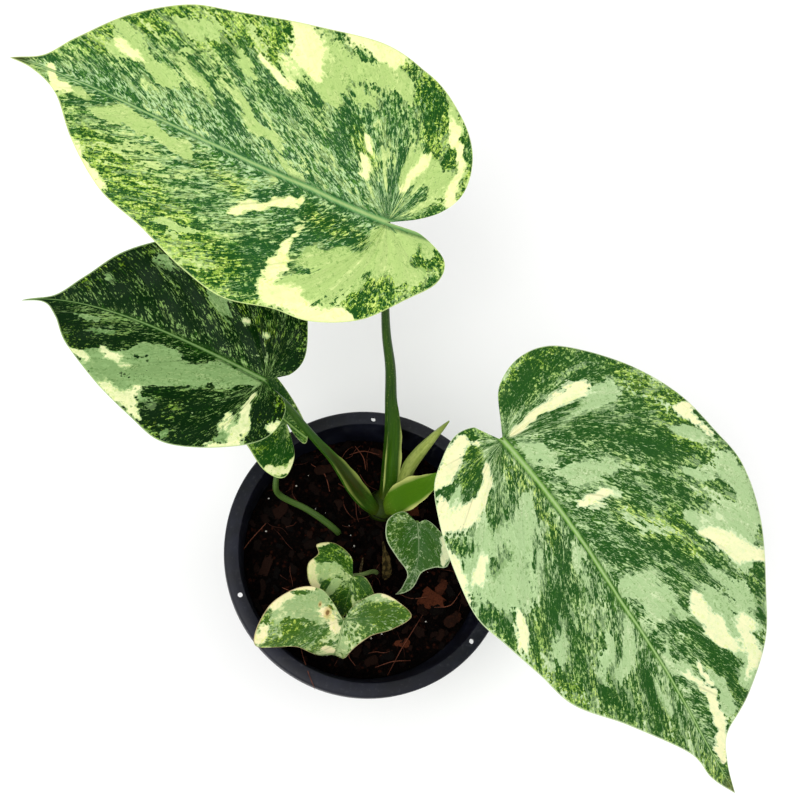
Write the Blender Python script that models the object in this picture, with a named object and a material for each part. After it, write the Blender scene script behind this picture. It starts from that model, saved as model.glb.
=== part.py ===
"""Potted variegated plant: a black nursery pot of soil, a short crown and seven entire heart-shaped leaves.

Metres, +Z up. The origin is the middle of the pot's underside, where the pot stands.
"""

import math

import bmesh
import bpy
import numpy as np

MM = 0.001
GAP = 0.3

# Pot, in millimetres
POT_HEIGHT = 150.0
RIM_RADIUS = 100.0
RIM_BAND = 10.0
RIM_THICKNESS = 2.4
SKIRT_DEPTH = 11.0
WALL = 2.2
BASE_RADIUS = 71.0
FOOT_WIDTH = 6.0
FLOOR_TOP = 6.0
FLOOR_UNDERSIDE = 3.2
CENTRE_DISC = 16.0
POT_STEPS = 60
HANGER_HOLE = 1.7
HANGER_RADIUS = 94.0
HANGER_ANGLES = (89, 201, 319)
DRAIN_HOLE = 4.5
DRAIN_RINGS = ((48.0, 8), (28.0, 4))

# Soil, in millimetres
SOIL_TOP = 122.0
SOIL_LUMPS = 1.5
SOIL_RINGS = 9
SOIL_STEPS = 40
HOLE_ROOM = 1.8

# Crown, in millimetres
CROWN_PLACE = (13.0, 37.0)
CROWN_RADIUS = 12.0
CROWN_SIDES = 18
CROWN_FOOT = 100.0
CROWN_TOP = 130.0
CROWN_DOME = 7.0

# Leaf blades, in millimetres
BLADE = 1.0
RIB = 2.4
RIB_SPREAD = 2.5
RIB_TAPER = 0.8
BIG_GRID = (26, (0, 0.05, 0.2, 0.4, 0.6, 0.8, 1))
SMALL_GRID = (16, (0, 0.12, 0.4, 0.7, 1))
CURLED_GRID = (26, (0, 0.12, 0.4, 0.7, 1))
MIDRIB_STEPS = 600
LOBE_SHARE = 0.45
FIRST_SHARE = 0.09
WAVE_REACH = 0.15

# Outlines run from the notch round the back lobe to the tip: along the midrib, then out from it.
# lean is the compass direction, pitch and roll of the blade where the stalk meets it. arch bends the
# midrib down, turn bends it sideways, and backTilt tips the back lobes, all in degrees.
LEAVES = {
    "tall": dict(
        junction=(-18, 159, 330), lean=(170, 6, 10), length=238, arch=(12, 8), turn=(35, -36), back_tilt=14,
        fold=(0.16, 6), droop=0.9, wave=(1.6, 3.5, 0.1), sweep=1.5, bend=0.15, grid=BIG_GRID,
        right=((0, 0), (-12, 4), (-30, 15), (-41, 31), (-40, 53), (-27, 74), (-4, 93), (36, 102), (92, 92),
               (138, 77), (163, 68), (186, 48), (205, 22), (219, 6), (238, 0)),
        left=((0, 0), (-12, 0), (-24, 2), (-38, 13), (-36, 28), (-20, 43), (2, 61), (26, 71), (45, 72),
              (68, 77), (92, 71), (119, 61), (147, 54), (177, 36), (202, 14), (222, 4), (238, 0)),
    ),
    "left": dict(
        junction=(-82, 81, 262), lean=(155, 4, 4), length=160, arch=(14, 8), turn=(-6, -25), back_tilt=16,
        fold=(0.2, 5), droop=1.2, wave=(1.2, 3, 0.4), sweep=1.4, bend=0.15, grid=BIG_GRID,
        right=((0, 0), (-11, 9), (-15, 23), (-7, 42), (6, 62), (30, 73), (57, 70), (77, 60), (92, 50),
               (109, 36), (124, 17), (139, 3), (160, 0)),
        left=((0, 0), (-13, 4), (-20, 12), (-19, 28), (-9, 41), (15, 56), (38, 63), (61, 57), (92, 45),
              (122, 27), (135, 11), (145, 2), (160, 0)),
    ),
    "right": dict(
        junction=(68, 51, 258), lean=(-45, -2, 0), length=285, arch=(22, 10), turn=(20, -20), back_tilt=12,
        fold=(0.16, 6), droop=1.0, wave=(1.8, 3.2, 0.25), sweep=1.2, bend=0.15, grid=BIG_GRID,
        right=((0, 0), (-16, 5), (-23, 20), (-18, 39), (-8, 57), (13, 71), (39, 81), (71, 88), (97, 84),
               (126, 77), (156, 68), (191, 42), (233, 15), (258, 10), (285, 0)),
        left=((0, 0), (-14, 11), (-27, 24), (-31, 45), (-22, 67), (3, 88), (26, 103), (52, 113), (80, 116),
              (105, 118), (138, 108), (176, 86), (203, 68), (226, 39), (240, 15), (260, 6), (285, 0)),
    ),
    "tucked": dict(
        junction=(-63, 81, 178), lean=(140, 2, -8), length=86, arch=(20, 20), turn=(-5, 20), back_tilt=-35,
        fold=(0.1, 4), droop=3.5, wave=(1.0, 2.5, 0.3), sweep=1.3, bend=0.12, grid=SMALL_GRID,
        right=((0, 0), (-10, -3), (-19, -4), (-20, -1), (-12, 7), (5, 15), (26, 21), (52, 25), (75, 16),
               (86, 0)),
        left=((0, 0), (-10, 6), (-22, 17), (-26, 32), (-12, 36), (10, 31), (29, 33), (51, 27), (70, 13),
              (86, 0)),
    ),
    "front": dict(
        junction=(-20, -52, 169), lean=(-100, -12, 2), length=55, arch=(124, 0), turn=(-6, 0),
        back_tilt=-10, fold=(0.3, 4), droop=4.0, wave=(0.8, 2.0, 0.3), sweep=1.1, bend=0.12,
        grid=CURLED_GRID,
        right=((0, 0), (-10, 9), (-18, 20), (-16, 34), (-4, 48), (12, 55), (26, 53), (24, 40), (22, 26),
               (31, 13), (42, 5), (55, 0)),
        left=((0, 0), (-9, 3), (-18, 11), (-23, 20), (-20, 32), (-12, 43), (-1, 32), (6, 19), (18, 10),
              (32, 7), (44, 4), (55, 0)),
    ),
    "fan": dict(
        junction=(-13, -21, 158), lean=(-102, -8, 6), length=29, arch=(25, 15), turn=(-1, -12),
        back_tilt=30, fold=(0.2, 3), droop=3.0, wave=(0.6, 2.0, 0.3), sweep=1.1, bend=0.12,
        grid=SMALL_GRID,
        right=((0, 0), (-13, 4), (-19, 17), (-15, 29), (-9, 27), (-1, 32), (10, 28), (19, 16), (29, 0)),
        left=((0, 0), (-2, 4), (-1, 9), (5, 15), (13, 19), (22, 12), (29, 0)),
    ),
    "tailed": dict(
        junction=(33, 19, 152), lean=(-81, -6, 0), length=56, arch=(14, 10), turn=(26, 59), back_tilt=12,
        fold=(0.15, 3), droop=3.0, wave=(0.5, 2.0, 0.3), sweep=1.2, bend=0.12, grid=SMALL_GRID,
        right=((0, 0), (-9, 9), (-4, 21), (11, 23), (26, 15), (37, 5), (46, 3), (56, 0)),
        left=((0, 0), (-1, 7), (7, 15), (17, 22), (27, 21), (29, 12), (34, 4), (45, 3), (56, 0)),
    ),
}

# Stalk routes: x, y, z, half width and half depth. The last point of each is set by its blade.
STALKS = {
    "tall": ((14, 42, 126, 5.4, 5.0), (15, 49, 132, 5.6, 5.2), (14, 65, 147, 5.4, 4.8),
             (12, 81, 167, 4.9, 4.3), (8, 97, 188, 4.2, 3.8), (4, 112, 210, 3.6, 3.3),
             (-3, 126, 236, 3.0, 2.9), (-8, 137, 262, 2.6, 2.6), (-13, 147, 292, 2.3, 2.3)),
    "left": ((7, 33, 126, 4.6, 4.0), (-1, 37, 135, 6.0, 3.4), (-11, 44, 146, 6.2, 3.0),
             (-22, 53, 160, 4.6, 2.8), (-31, 59, 172, 3.2, 2.8), (-44, 66, 190, 2.8, 2.7),
             (-55, 72, 206, 2.6, 2.5), (-67, 78, 226, 2.3, 2.3)),
    "right": ((15, 34, 126, 5.4, 4.2), (19, 36, 135, 8.0, 3.6), (26, 39, 148, 8.6, 3.2),
              (33, 41, 162, 7.4, 3.0), (41, 43, 180, 4.2, 3.0), (50, 46, 200, 3.0, 2.9),
              (58, 49, 224, 2.5, 2.5)),
    "tucked": ((-19, 16, 108, 2.4, 2.4), (-19, 16, 118, 2.4, 2.4), (-21, 17, 125, 2.4, 2.4),
               (-31, 23, 131, 2.4, 2.2), (-44, 30, 135, 2.3, 2.1), (-56, 34, 140, 2.2, 2.0),
               (-64, 37, 146, 2.2, 2.0), (-67, 41, 154, 2.2, 2.0), (-66, 52, 163, 2.0, 1.9),
               (-64, 68, 169, 1.8, 1.8)),
    "front": ((-17, -50, 108, 1.7, 1.7), (-17, -51, 124, 1.7, 1.7), (-18, -53, 145, 1.6, 1.6)),
    "fan": ((9, -12, 108, 1.7, 1.7), (9, -12, 122, 1.7, 1.7), (4, -13, 133, 1.6, 1.6),
            (-5, -17, 144, 1.5, 1.5)),
    "tailed": ((33, 9, 108, 1.8, 1.8), (33, 9, 122, 1.8, 1.8), (33, 13, 137, 1.7, 1.7)),
}
STALK_SIDES = 10
WIDE_RING = 4
STALK_END = 10.0

ROLLED_LEAF = ((19, 41, 126, 3.0, 3.0), (24, 48, 137, 3.8, 3.8), (26, 57, 160, 4.6, 4.2),
               (28, 60, 190, 4.0, 3.6), (31, 62, 220, 2.6, 2.4), (33, 63, 240, 1.5, 1.4),
               (34, 63, 254, 0.5, 0.5))
DRY_SHEATH = ((16, -17, 108, 1.8, 1.2), (16, -17, 119, 2.4, 1.2), (16, -13, 126, 3.4, 1.0),
              (14, -6, 135, 3.0, 0.8), (11, 0, 144, 1.6, 0.6), (9, 5, 151, 0.5, 0.4))


def clear_scene():
    for old in list(bpy.data.objects):
        bpy.data.objects.remove(old, do_unlink=True)


def plain_material(name, colour, roughness, metallic=0.0):
    material = bpy.data.materials.new(name)
    material.use_nodes = True
    shader = material.node_tree.nodes["Principled BSDF"]
    shader.inputs["Base Color"].default_value = (*colour, 1.0)
    shader.inputs["Roughness"].default_value = roughness
    shader.inputs["Metallic"].default_value = metallic
    material.diffuse_color = (*colour, 1.0)
    return material


def mesh_object(name, points, faces, material=None):
    """An object whose mesh is given in millimetres, with doubled points merged and faces pointing out."""
    mesh = bpy.data.meshes.new(name)
    mesh.from_pydata([tuple(p) for p in np.asarray(points) * MM], [], faces)
    form = bmesh.new()
    form.from_mesh(mesh)
    bmesh.ops.remove_doubles(form, verts=form.verts, dist=0.01 * MM)
    bmesh.ops.recalc_face_normals(form, faces=form.faces)
    form.to_mesh(mesh)
    form.free()
    obj = bpy.data.objects.new(name, mesh)
    bpy.context.scene.collection.objects.link(obj)
    if material:
        mesh.materials.append(material)
    return obj


def shade(obj, angle=40):
    obj.data.shade_smooth()
    obj.data.set_sharp_from_angle(angle=math.radians(angle))


def make_cutter(obj):
    obj.hide_render = True
    obj.display_type = "WIRE"
    return obj


def cut(target, *cutters):
    """One exact Boolean difference for each cutter."""
    for cutter in cutters:
        boolean = target.modifiers.new("Cut " + cutter.name, "BOOLEAN")
        boolean.operation = "DIFFERENCE"
        boolean.solver = "EXACT"
        boolean.object = cutter


def rod(name, centre, radius, low, high, sides=20):
    """A closed upright cylinder, for cutting a round hole."""
    ring = []
    for i in range(sides):
        angle = 2 * math.pi * i / sides
        ring.append((centre[0] + radius * math.cos(angle), centre[1] + radius * math.sin(angle)))
    points = [(x, y, low) for x, y in ring] + [(x, y, high) for x, y in ring]
    faces = [(i, (i + 1) % sides, sides + (i + 1) % sides, sides + i) for i in range(sides)]
    faces += [tuple(range(sides)), tuple(range(sides, 2 * sides))]
    return mesh_object(name, points, faces)


# Pot


def inner_radius(height):
    """Radius of the pot's inner wall at a height."""
    floor_radius = BASE_RADIUS - WALL
    rim_inner = RIM_RADIUS - RIM_BAND
    share = (height - FLOOR_TOP) / (POT_HEIGHT - FLOOR_TOP)
    return floor_radius + share * (rim_inner - floor_radius)


def pot_profile():
    """Half section of the pot: down the outside, under the foot, and up the inside to the rim."""
    skirt_foot = POT_HEIGHT - SKIRT_DEPTH
    under_rim = POT_HEIGHT - RIM_THICKNESS
    return (
        (inner_radius(POT_HEIGHT), POT_HEIGHT - 0.6),
        (inner_radius(POT_HEIGHT) + 1.0, POT_HEIGHT),
        (RIM_RADIUS - 1.4, POT_HEIGHT - 0.3),
        (RIM_RADIUS, POT_HEIGHT - 1.7),
        (RIM_RADIUS, skirt_foot),
        (RIM_RADIUS - WALL, skirt_foot),
        (RIM_RADIUS - WALL, under_rim),
        (inner_radius(under_rim) + WALL, under_rim),
        (BASE_RADIUS + 0.3, 2.0),
        (BASE_RADIUS - 0.9, 0.0),
        (BASE_RADIUS - FOOT_WIDTH, 0.0),
        (BASE_RADIUS - FOOT_WIDTH, FLOOR_UNDERSIDE),
        (CENTRE_DISC, FLOOR_UNDERSIDE),
        (CENTRE_DISC, 0.0),
        (0.0, 0.0),
    ), (
        (0.0, FLOOR_TOP),
        (inner_radius(FLOOR_TOP) - 2.0, FLOOR_TOP),
        (inner_radius(FLOOR_TOP + 2.5), FLOOR_TOP + 2.5),
    )


def make_pot(material):
    outside, inside = pot_profile()
    profile = bpy.data.meshes.new("pot")
    rows = [(radius * MM, 0.0, height * MM) for radius, height in outside]
    rows += [(radius * MM, 0.0, height * MM) for radius, height in inside]
    edges = [(i, i + 1) for i in range(len(outside) - 1)]
    edges += [(i, i + 1) for i in range(len(outside), len(rows) - 1)]
    edges.append((len(rows) - 1, 0))
    profile.from_pydata(rows, edges, [])
    pot = bpy.data.objects.new("pot", profile)
    bpy.context.scene.collection.objects.link(pot)
    profile.materials.append(material)
    screw = pot.modifiers.new("Turn", "SCREW")
    screw.axis = "Z"
    screw.steps = POT_STEPS
    screw.render_steps = POT_STEPS
    screw.use_merge_vertices = True
    screw.merge_threshold = 0.0001
    for number, angle in enumerate(HANGER_ANGLES):
        turn = math.radians(angle)
        place = (HANGER_RADIUS * math.cos(turn), HANGER_RADIUS * math.sin(turn))
        hole = rod(f"hanger_hole_{number}", place, HANGER_HOLE, POT_HEIGHT - 6, POT_HEIGHT + 4, 12)
        cut(pot, make_cutter(hole))
    for radius, count in DRAIN_RINGS:
        for number in range(count):
            turn = 2 * math.pi * (number + 0.5) / count
            place = (radius * math.cos(turn), radius * math.sin(turn))
            hole = rod(f"drain_hole_{radius:.0f}_{number}", place, DRAIN_HOLE, -3, FLOOR_TOP + 3, 12)
            cut(pot, make_cutter(hole))
    return pot


# Soil


def soil_height(x, y):
    """Height of the uneven soil surface: a few crossing swells, flatter at the wall."""
    swell = math.sin(x / 11 + 0.7) * math.cos(y / 13) + 0.6 * math.sin((x + 2 * y) / 17 + 1.3)
    swell += 0.4 * math.cos((2 * x - y) / 9)
    return SOIL_TOP + SOIL_LUMPS * swell * (1 - (math.hypot(x, y) / 90) ** 4)


def make_soil(material, cutters):
    points = []
    faces = []
    edge = inner_radius(SOIL_TOP) - 2 * GAP
    radii = [edge * ring / SOIL_RINGS for ring in range(1, SOIL_RINGS + 1)]
    for radius in radii:
        for i in range(SOIL_STEPS):
            angle = 2 * math.pi * i / SOIL_STEPS
            x, y = radius * math.cos(angle), radius * math.sin(angle)
            points.append((x, y, soil_height(x, y)))
    for height in (FLOOR_TOP + 2.5 + GAP, FLOOR_TOP + GAP):
        radius = inner_radius(height) - 2 * GAP - (2.4 if height < FLOOR_TOP + 2 else 0)
        for i in range(SOIL_STEPS):
            angle = 2 * math.pi * i / SOIL_STEPS
            points.append((radius * math.cos(angle), radius * math.sin(angle), height))
    rows = len(radii) + 2
    for row in range(rows - 1):
        for i in range(SOIL_STEPS):
            a, b = row * SOIL_STEPS + i, row * SOIL_STEPS + (i + 1) % SOIL_STEPS
            faces += [(a, b, b + SOIL_STEPS), (a, b + SOIL_STEPS, a + SOIL_STEPS)]
    top, bottom = len(points), len(points) + 1
    points += [(0, 0, soil_height(0, 0)), (0, 0, FLOOR_TOP + GAP)]
    last = (rows - 1) * SOIL_STEPS
    for i in range(SOIL_STEPS):
        j = (i + 1) % SOIL_STEPS
        faces += [(top, j, i), (bottom, last + i, last + j)]
    soil = mesh_object("soil", points, faces, material)
    cut(soil, *cutters)
    return soil


# Stems


def smooth_line(points, share):
    """Catmull-Rom curve through points, at shares from 0 to 1 along it."""
    points = np.asarray(points, float)
    spans = len(points) - 1
    held = np.vstack([2 * points[0] - points[1], points, 2 * points[-1] - points[-2]])
    place = np.clip(np.asarray(share) * spans, 0, spans - 1e-9)
    index = place.astype(int)
    f = (place - index)[..., None]
    a, b, c, d = held[index], held[index + 1], held[index + 2], held[index + 3]
    return 0.5 * (2 * b + (c - a) * f + (2 * a - 5 * b + 4 * c - d) * f**2 + (3 * b - a - 3 * c + d) * f**3)


def tube(name, route, material=None, end_direction=None, grow=0.0, extend=0.0):
    """A closed stem along a route of x, y, z, half width and half depth. Its width lies level near the foot."""
    rings = 2 * (len(route) - 1) + 1
    line = smooth_line(route, np.linspace(0, 1, rings))
    centres, sizes = line[:, :3].copy(), line[:, 3:] + grow
    along = np.gradient(centres, axis=0)
    along /= np.linalg.norm(along, axis=1)[:, None]
    if end_direction is not None:
        along[-1] = end_direction
    centres[0] -= along[0] * extend
    centres[-1] += along[-1] * extend
    side = np.empty_like(along)
    steepest = np.linalg.norm(along[WIDE_RING][:2]) < 0.1
    held = np.array((1.0, 0, 0)) if steepest else np.cross(along[WIDE_RING], (0, 0, 1))
    for i in range(rings):
        held = held - along[i] * held.dot(along[i])
        held /= np.linalg.norm(held)
        side[i] = held
    out = np.cross(side, along)
    points = []
    for centre, (wide, deep), across, up in zip(centres, sizes, side, out):
        for i in range(STALK_SIDES):
            angle = 2 * math.pi * i / STALK_SIDES
            points.append(centre + across * wide * math.cos(angle) + up * deep * math.sin(angle))
    faces = []
    for ring in range(rings - 1):
        for i in range(STALK_SIDES):
            j = (i + 1) % STALK_SIDES
            a, b = ring * STALK_SIDES, (ring + 1) * STALK_SIDES
            faces += [(a + i, a + j, b + j), (a + i, b + j, b + i)]
    faces += [tuple(range(STALK_SIDES)), tuple(range((rings - 1) * STALK_SIDES, rings * STALK_SIDES))]
    return mesh_object(name, points, faces, material)


def stalk_route(name):
    """The stalk's own points, and the two that bring it square to the underside of its blade."""
    leaf = LEAVES[name]
    normal = leaf_axes(leaf)[2]
    end = np.array(leaf["junction"], float) - normal * (RIB + GAP)
    own = STALKS[name]
    wide, deep = own[-1][3:]
    bend = end - normal * STALK_END
    return (*own, (*bend, wide, deep), (*end, wide, deep)), normal


def make_crown(name, material, grow=0.0):
    """The short stem: a round post with a domed top, set in the soil."""
    x, y = CROWN_PLACE
    radius_out = CROWN_RADIUS + grow
    top = CROWN_TOP + grow
    dome = top - CROWN_DOME
    rows = [(radius_out - 1.5, CROWN_FOOT), (radius_out, CROWN_FOOT + 3), (radius_out, dome)]
    for step in range(1, 5):
        angle = math.radians(90 * step / 5)
        rows.append((radius_out * math.cos(angle), dome + CROWN_DOME * math.sin(angle)))
    sides = CROWN_SIDES
    points = []
    for radius, height in rows:
        for i in range(sides):
            angle = 2 * math.pi * i / sides
            points.append((x + radius * math.cos(angle), y + radius * math.sin(angle), height))
    faces = []
    for row in range(len(rows) - 1):
        for i in range(sides):
            j = (i + 1) % sides
            faces.append((row * sides + i, row * sides + j, (row + 1) * sides + j, (row + 1) * sides + i))
    faces.append(tuple(range(sides)))
    faces.append(tuple(range((len(rows) - 1) * sides, len(rows) * sides)))
    return mesh_object(name, points, faces, material)


# Leaf blades


def leaf_axes(leaf):
    """Directions at the junction: along the midrib, to the right of it and out of the upper face."""
    compass, pitch, roll = (math.radians(angle) for angle in leaf["lean"])
    flat = math.cos(pitch)
    along = np.array([math.cos(compass) * flat, math.sin(compass) * flat, math.sin(pitch)])
    right = np.array([math.sin(compass), -math.cos(compass), 0.0])
    normal = np.cross(right, along)
    rolled = right * math.cos(roll) + normal * math.sin(roll)
    return along, rolled, normal * math.cos(roll) - right * math.sin(roll)


def midrib_line(leaf):
    """Stations from behind the junction to the tip, with the midrib's place, right and normal at each."""
    length = leaf["length"]
    back = max(-min(along for along, _ in leaf["right"] + leaf["left"]) + 4, 10)
    station = np.linspace(-back, length, MIDRIB_STEPS + 1)
    ahead = np.clip(station / length, 0, None)
    behind = np.clip(-station / length, 0, None)
    pitch = np.radians(-leaf["arch"][0] * ahead - leaf["arch"][1] * ahead**3 + leaf["back_tilt"] * behind)
    heading = np.radians(leaf["turn"][0] * ahead + leaf["turn"][1] * ahead**4)
    along, right, normal = leaf_axes(leaf)
    level = np.outer(np.cos(heading), along) + np.outer(np.sin(heading), right)
    rights = np.outer(np.cos(heading), right) - np.outer(np.sin(heading), along)
    forward = level * np.cos(pitch)[:, None] + normal * np.sin(pitch)[:, None]
    normals = -level * np.sin(pitch)[:, None] + normal * np.cos(pitch)[:, None]
    step = station[1] - station[0]
    places = np.vstack([np.zeros(3), np.cumsum((forward[1:] + forward[:-1]) / 2 * step, axis=0)])
    start = np.array([np.interp(0, station, places[:, k]) for k in range(3)])
    return station, places - start + np.array(leaf["junction"], float), rights, normals


def at_station(stations, values, where):
    return np.stack([np.interp(where, stations, values[:, k]) for k in range(3)], -1)


def half_blade(leaf, line, hand, rows, columns):
    """Upper and lower points of one half, row by row along the veins. hand is 1 for right and -1 for left."""
    share = np.linspace(FIRST_SHARE, 1, rows + 1)
    outlines = {1: smooth_line(leaf["right"], share), -1: smooth_line(leaf["left"], share)}
    starts = sum(line_[:, 0] - leaf["sweep"] * line_[:, 1] for line_ in outlines.values()) / 2
    starts = np.maximum.accumulate(np.clip(starts, 0, leaf["length"]))
    starts[-1] = leaf["length"]
    outer = outlines[hand]
    inner = np.stack([starts, np.zeros_like(starts)], 1)
    span = np.linalg.norm(outer - inner, axis=1)
    bow = leaf["bend"] * np.clip((share - FIRST_SHARE) / LOBE_SHARE, 0, 1) * span
    middle = (inner + outer) / 2 - np.stack([bow, np.zeros_like(bow)], 1)
    out = np.array(columns)[None, :, None]
    flat = inner[:, None] * (1 - out) ** 2 + 2 * middle[:, None] * out * (1 - out) + outer[:, None] * out**2
    along, across = flat[..., 0], flat[..., 1] * hand
    slope, rounding = leaf["fold"]
    height = slope * (np.sqrt(across**2 + rounding**2) - rounding) - leaf["droop"] * across**2 / 1000
    size, count, phase = leaf["wave"]
    ripple = np.sin(2 * math.pi * (count * share + phase) + (0 if hand > 0 else 1.9))
    ripple *= size * np.clip(span / (WAVE_REACH * leaf["length"]), 0, 1)
    height = height + np.array(columns)[None, :] ** 2 * ripple[:, None]
    stations, places, rights, normals = line
    up = at_station(stations, normals, along)
    upper = at_station(stations, places, along) + at_station(stations, rights, along) * across[..., None]
    upper = upper + up * height[..., None]
    rib = (RIB - BLADE) * (1 - RIB_TAPER * np.clip(along / leaf["length"], 0, 1))
    thickness = BLADE + rib * np.exp(-(across**2 + np.minimum(along, 0) ** 2) / RIB_SPREAD**2)
    return upper, upper - up * thickness[..., None]


def make_blade(name, leaf, material):
    """A thin blade, thicker under its midrib, with its upper and lower faces split into the same triangles."""
    rows, columns = leaf["grid"]
    line = midrib_line(leaf)
    width = len(columns)
    points = []
    faces = []
    for hand in (1, -1):
        upper, lower = half_blade(leaf, line, hand, rows, columns)
        top = len(points)
        bottom = top + width * (rows + 1)
        points += [*upper.reshape(-1, 3), *lower.reshape(-1, 3)]
        for row in range(rows):
            for column in range(width - 1):
                a = row * width + column
                for start in (top, bottom):
                    corner = start + a
                    faces.append((corner, corner + 1, corner + width + 1))
                    faces.append((corner, corner + width + 1, corner + width))
        edge = list(range(width)) + [row * width + width - 1 for row in range(1, rows + 1)]
        for here, after in zip(edge, edge[1:]):
            faces.append((top + here, top + after, bottom + after))
            faces.append((top + here, bottom + after, bottom + here))
    blade = mesh_object(name, points, faces, material)
    shade(blade, 60)
    return blade


def main():
    clear_scene()
    plastic = plain_material("black_plastic", (0.035, 0.042, 0.055), 0.5)
    earth = plain_material("potting_mix", (0.035, 0.018, 0.012), 0.95)
    stem_green = plain_material("stem_green", (0.12, 0.25, 0.03), 0.45)
    new_green = plain_material("new_leaf_green", (0.45, 0.52, 0.12), 0.4)
    withered = plain_material("withered_sheath", (0.12, 0.09, 0.05), 0.85)
    leaf_green = plain_material("variegated_leaf", (0.16, 0.30, 0.10), 0.4)

    make_pot(plastic)
    crown = make_crown("crown", stem_green)
    shade(crown)
    above = SOIL_TOP + 20
    hole = rod("crown_room", CROWN_PLACE, CROWN_RADIUS + GAP, CROWN_FOOT - GAP, above, CROWN_SIDES)
    rooms = [make_cutter(hole)]

    cutters = [make_cutter(make_crown("crown_clearance", None, GAP))]
    for name, leaf in LEAVES.items():
        route, normal = stalk_route(name)
        stalk = tube(f"{name}_stalk", route, stem_green, normal)
        shade(stalk)
        if route[0][2] < SOIL_TOP - 10:
            x, y, foot, wide, _ = route[0]
            hole = rod(f"{name}_room", (x, y), wide + HOLE_ROOM, foot - GAP, above, 12)
            rooms.append(make_cutter(hole))
        else:
            cut(stalk, *cutters)
            cutters.append(make_cutter(tube(f"{name}_clearance", route, None, normal, GAP, 1.0)))
        make_blade(f"{name}_blade", leaf, leaf_green)

    spike = tube("rolled_leaf", ROLLED_LEAF, new_green)
    shade(spike)
    cut(spike, *cutters)
    sheath = tube("dry_sheath", DRY_SHEATH, withered)
    shade(sheath)
    x, y, foot, wide, _ = DRY_SHEATH[0]
    hole = rod("sheath_room", (x, y + 0.8), wide + HOLE_ROOM + 0.6, foot - GAP, above, 12)
    rooms.append(make_cutter(hole))
    make_soil(earth, rooms)


main()
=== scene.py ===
# Young variegated monstera in a black nursery pot, seen from high in front.
import math

import bpy
import numpy as np
from mathutils import Matrix, Vector, noise


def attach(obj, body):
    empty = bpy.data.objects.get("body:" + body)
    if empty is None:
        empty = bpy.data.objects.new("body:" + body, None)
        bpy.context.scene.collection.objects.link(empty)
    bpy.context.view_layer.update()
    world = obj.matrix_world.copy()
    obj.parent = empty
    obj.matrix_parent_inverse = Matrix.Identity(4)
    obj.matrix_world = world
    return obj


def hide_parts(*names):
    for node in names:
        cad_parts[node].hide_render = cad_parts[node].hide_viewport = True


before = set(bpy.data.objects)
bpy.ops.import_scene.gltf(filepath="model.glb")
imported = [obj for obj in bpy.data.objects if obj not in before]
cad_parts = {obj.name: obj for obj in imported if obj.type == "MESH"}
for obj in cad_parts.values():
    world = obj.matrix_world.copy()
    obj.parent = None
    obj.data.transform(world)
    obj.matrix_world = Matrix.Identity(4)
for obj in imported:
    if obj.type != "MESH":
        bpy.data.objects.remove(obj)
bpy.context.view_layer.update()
bpy.ops.object.select_all(action="DESELECT")
mm = 0.001
print("frame loaded:", len(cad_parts), "nodes")


# Shader maths: a socket that takes part in Python expressions


class Wire:
    def __init__(self, paint, socket):
        self.paint = paint
        self.socket = socket

    def maths(self, operation, *others):
        return self.paint.node("ShaderNodeMath", {"operation": operation}, (self, *others))

    def __add__(self, other):
        return self.maths("ADD", other)

    def __radd__(self, other):
        return self.maths("ADD", other)

    def __sub__(self, other):
        return self.maths("SUBTRACT", other)

    def __rsub__(self, other):
        return self.paint.node("ShaderNodeMath", {"operation": "SUBTRACT"}, (other, self))

    def __mul__(self, other):
        return self.maths("MULTIPLY", other)

    def __rmul__(self, other):
        return self.maths("MULTIPLY", other)

    def __truediv__(self, other):
        return self.maths("DIVIDE", other)

    def __rtruediv__(self, other):
        return self.paint.node("ShaderNodeMath", {"operation": "DIVIDE"}, (other, self))

    def __pow__(self, power):
        return self.maths("POWER", power)

    def size(self):
        return self.maths("ABSOLUTE")

    def held(self):  # kept between 0 and 1
        return self.paint.node("ShaderNodeMath", {"operation": "ADD", "use_clamp": True}, (self, 0.0))

    def above(self, level, blur=0.02):  # 0 below the level and 1 above it, with a narrow ramp
        return ((self - level) / blur + 0.5).held()

    def below(self, level, blur=0.02):
        return ((level - self) / blur + 0.5).held()


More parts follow.
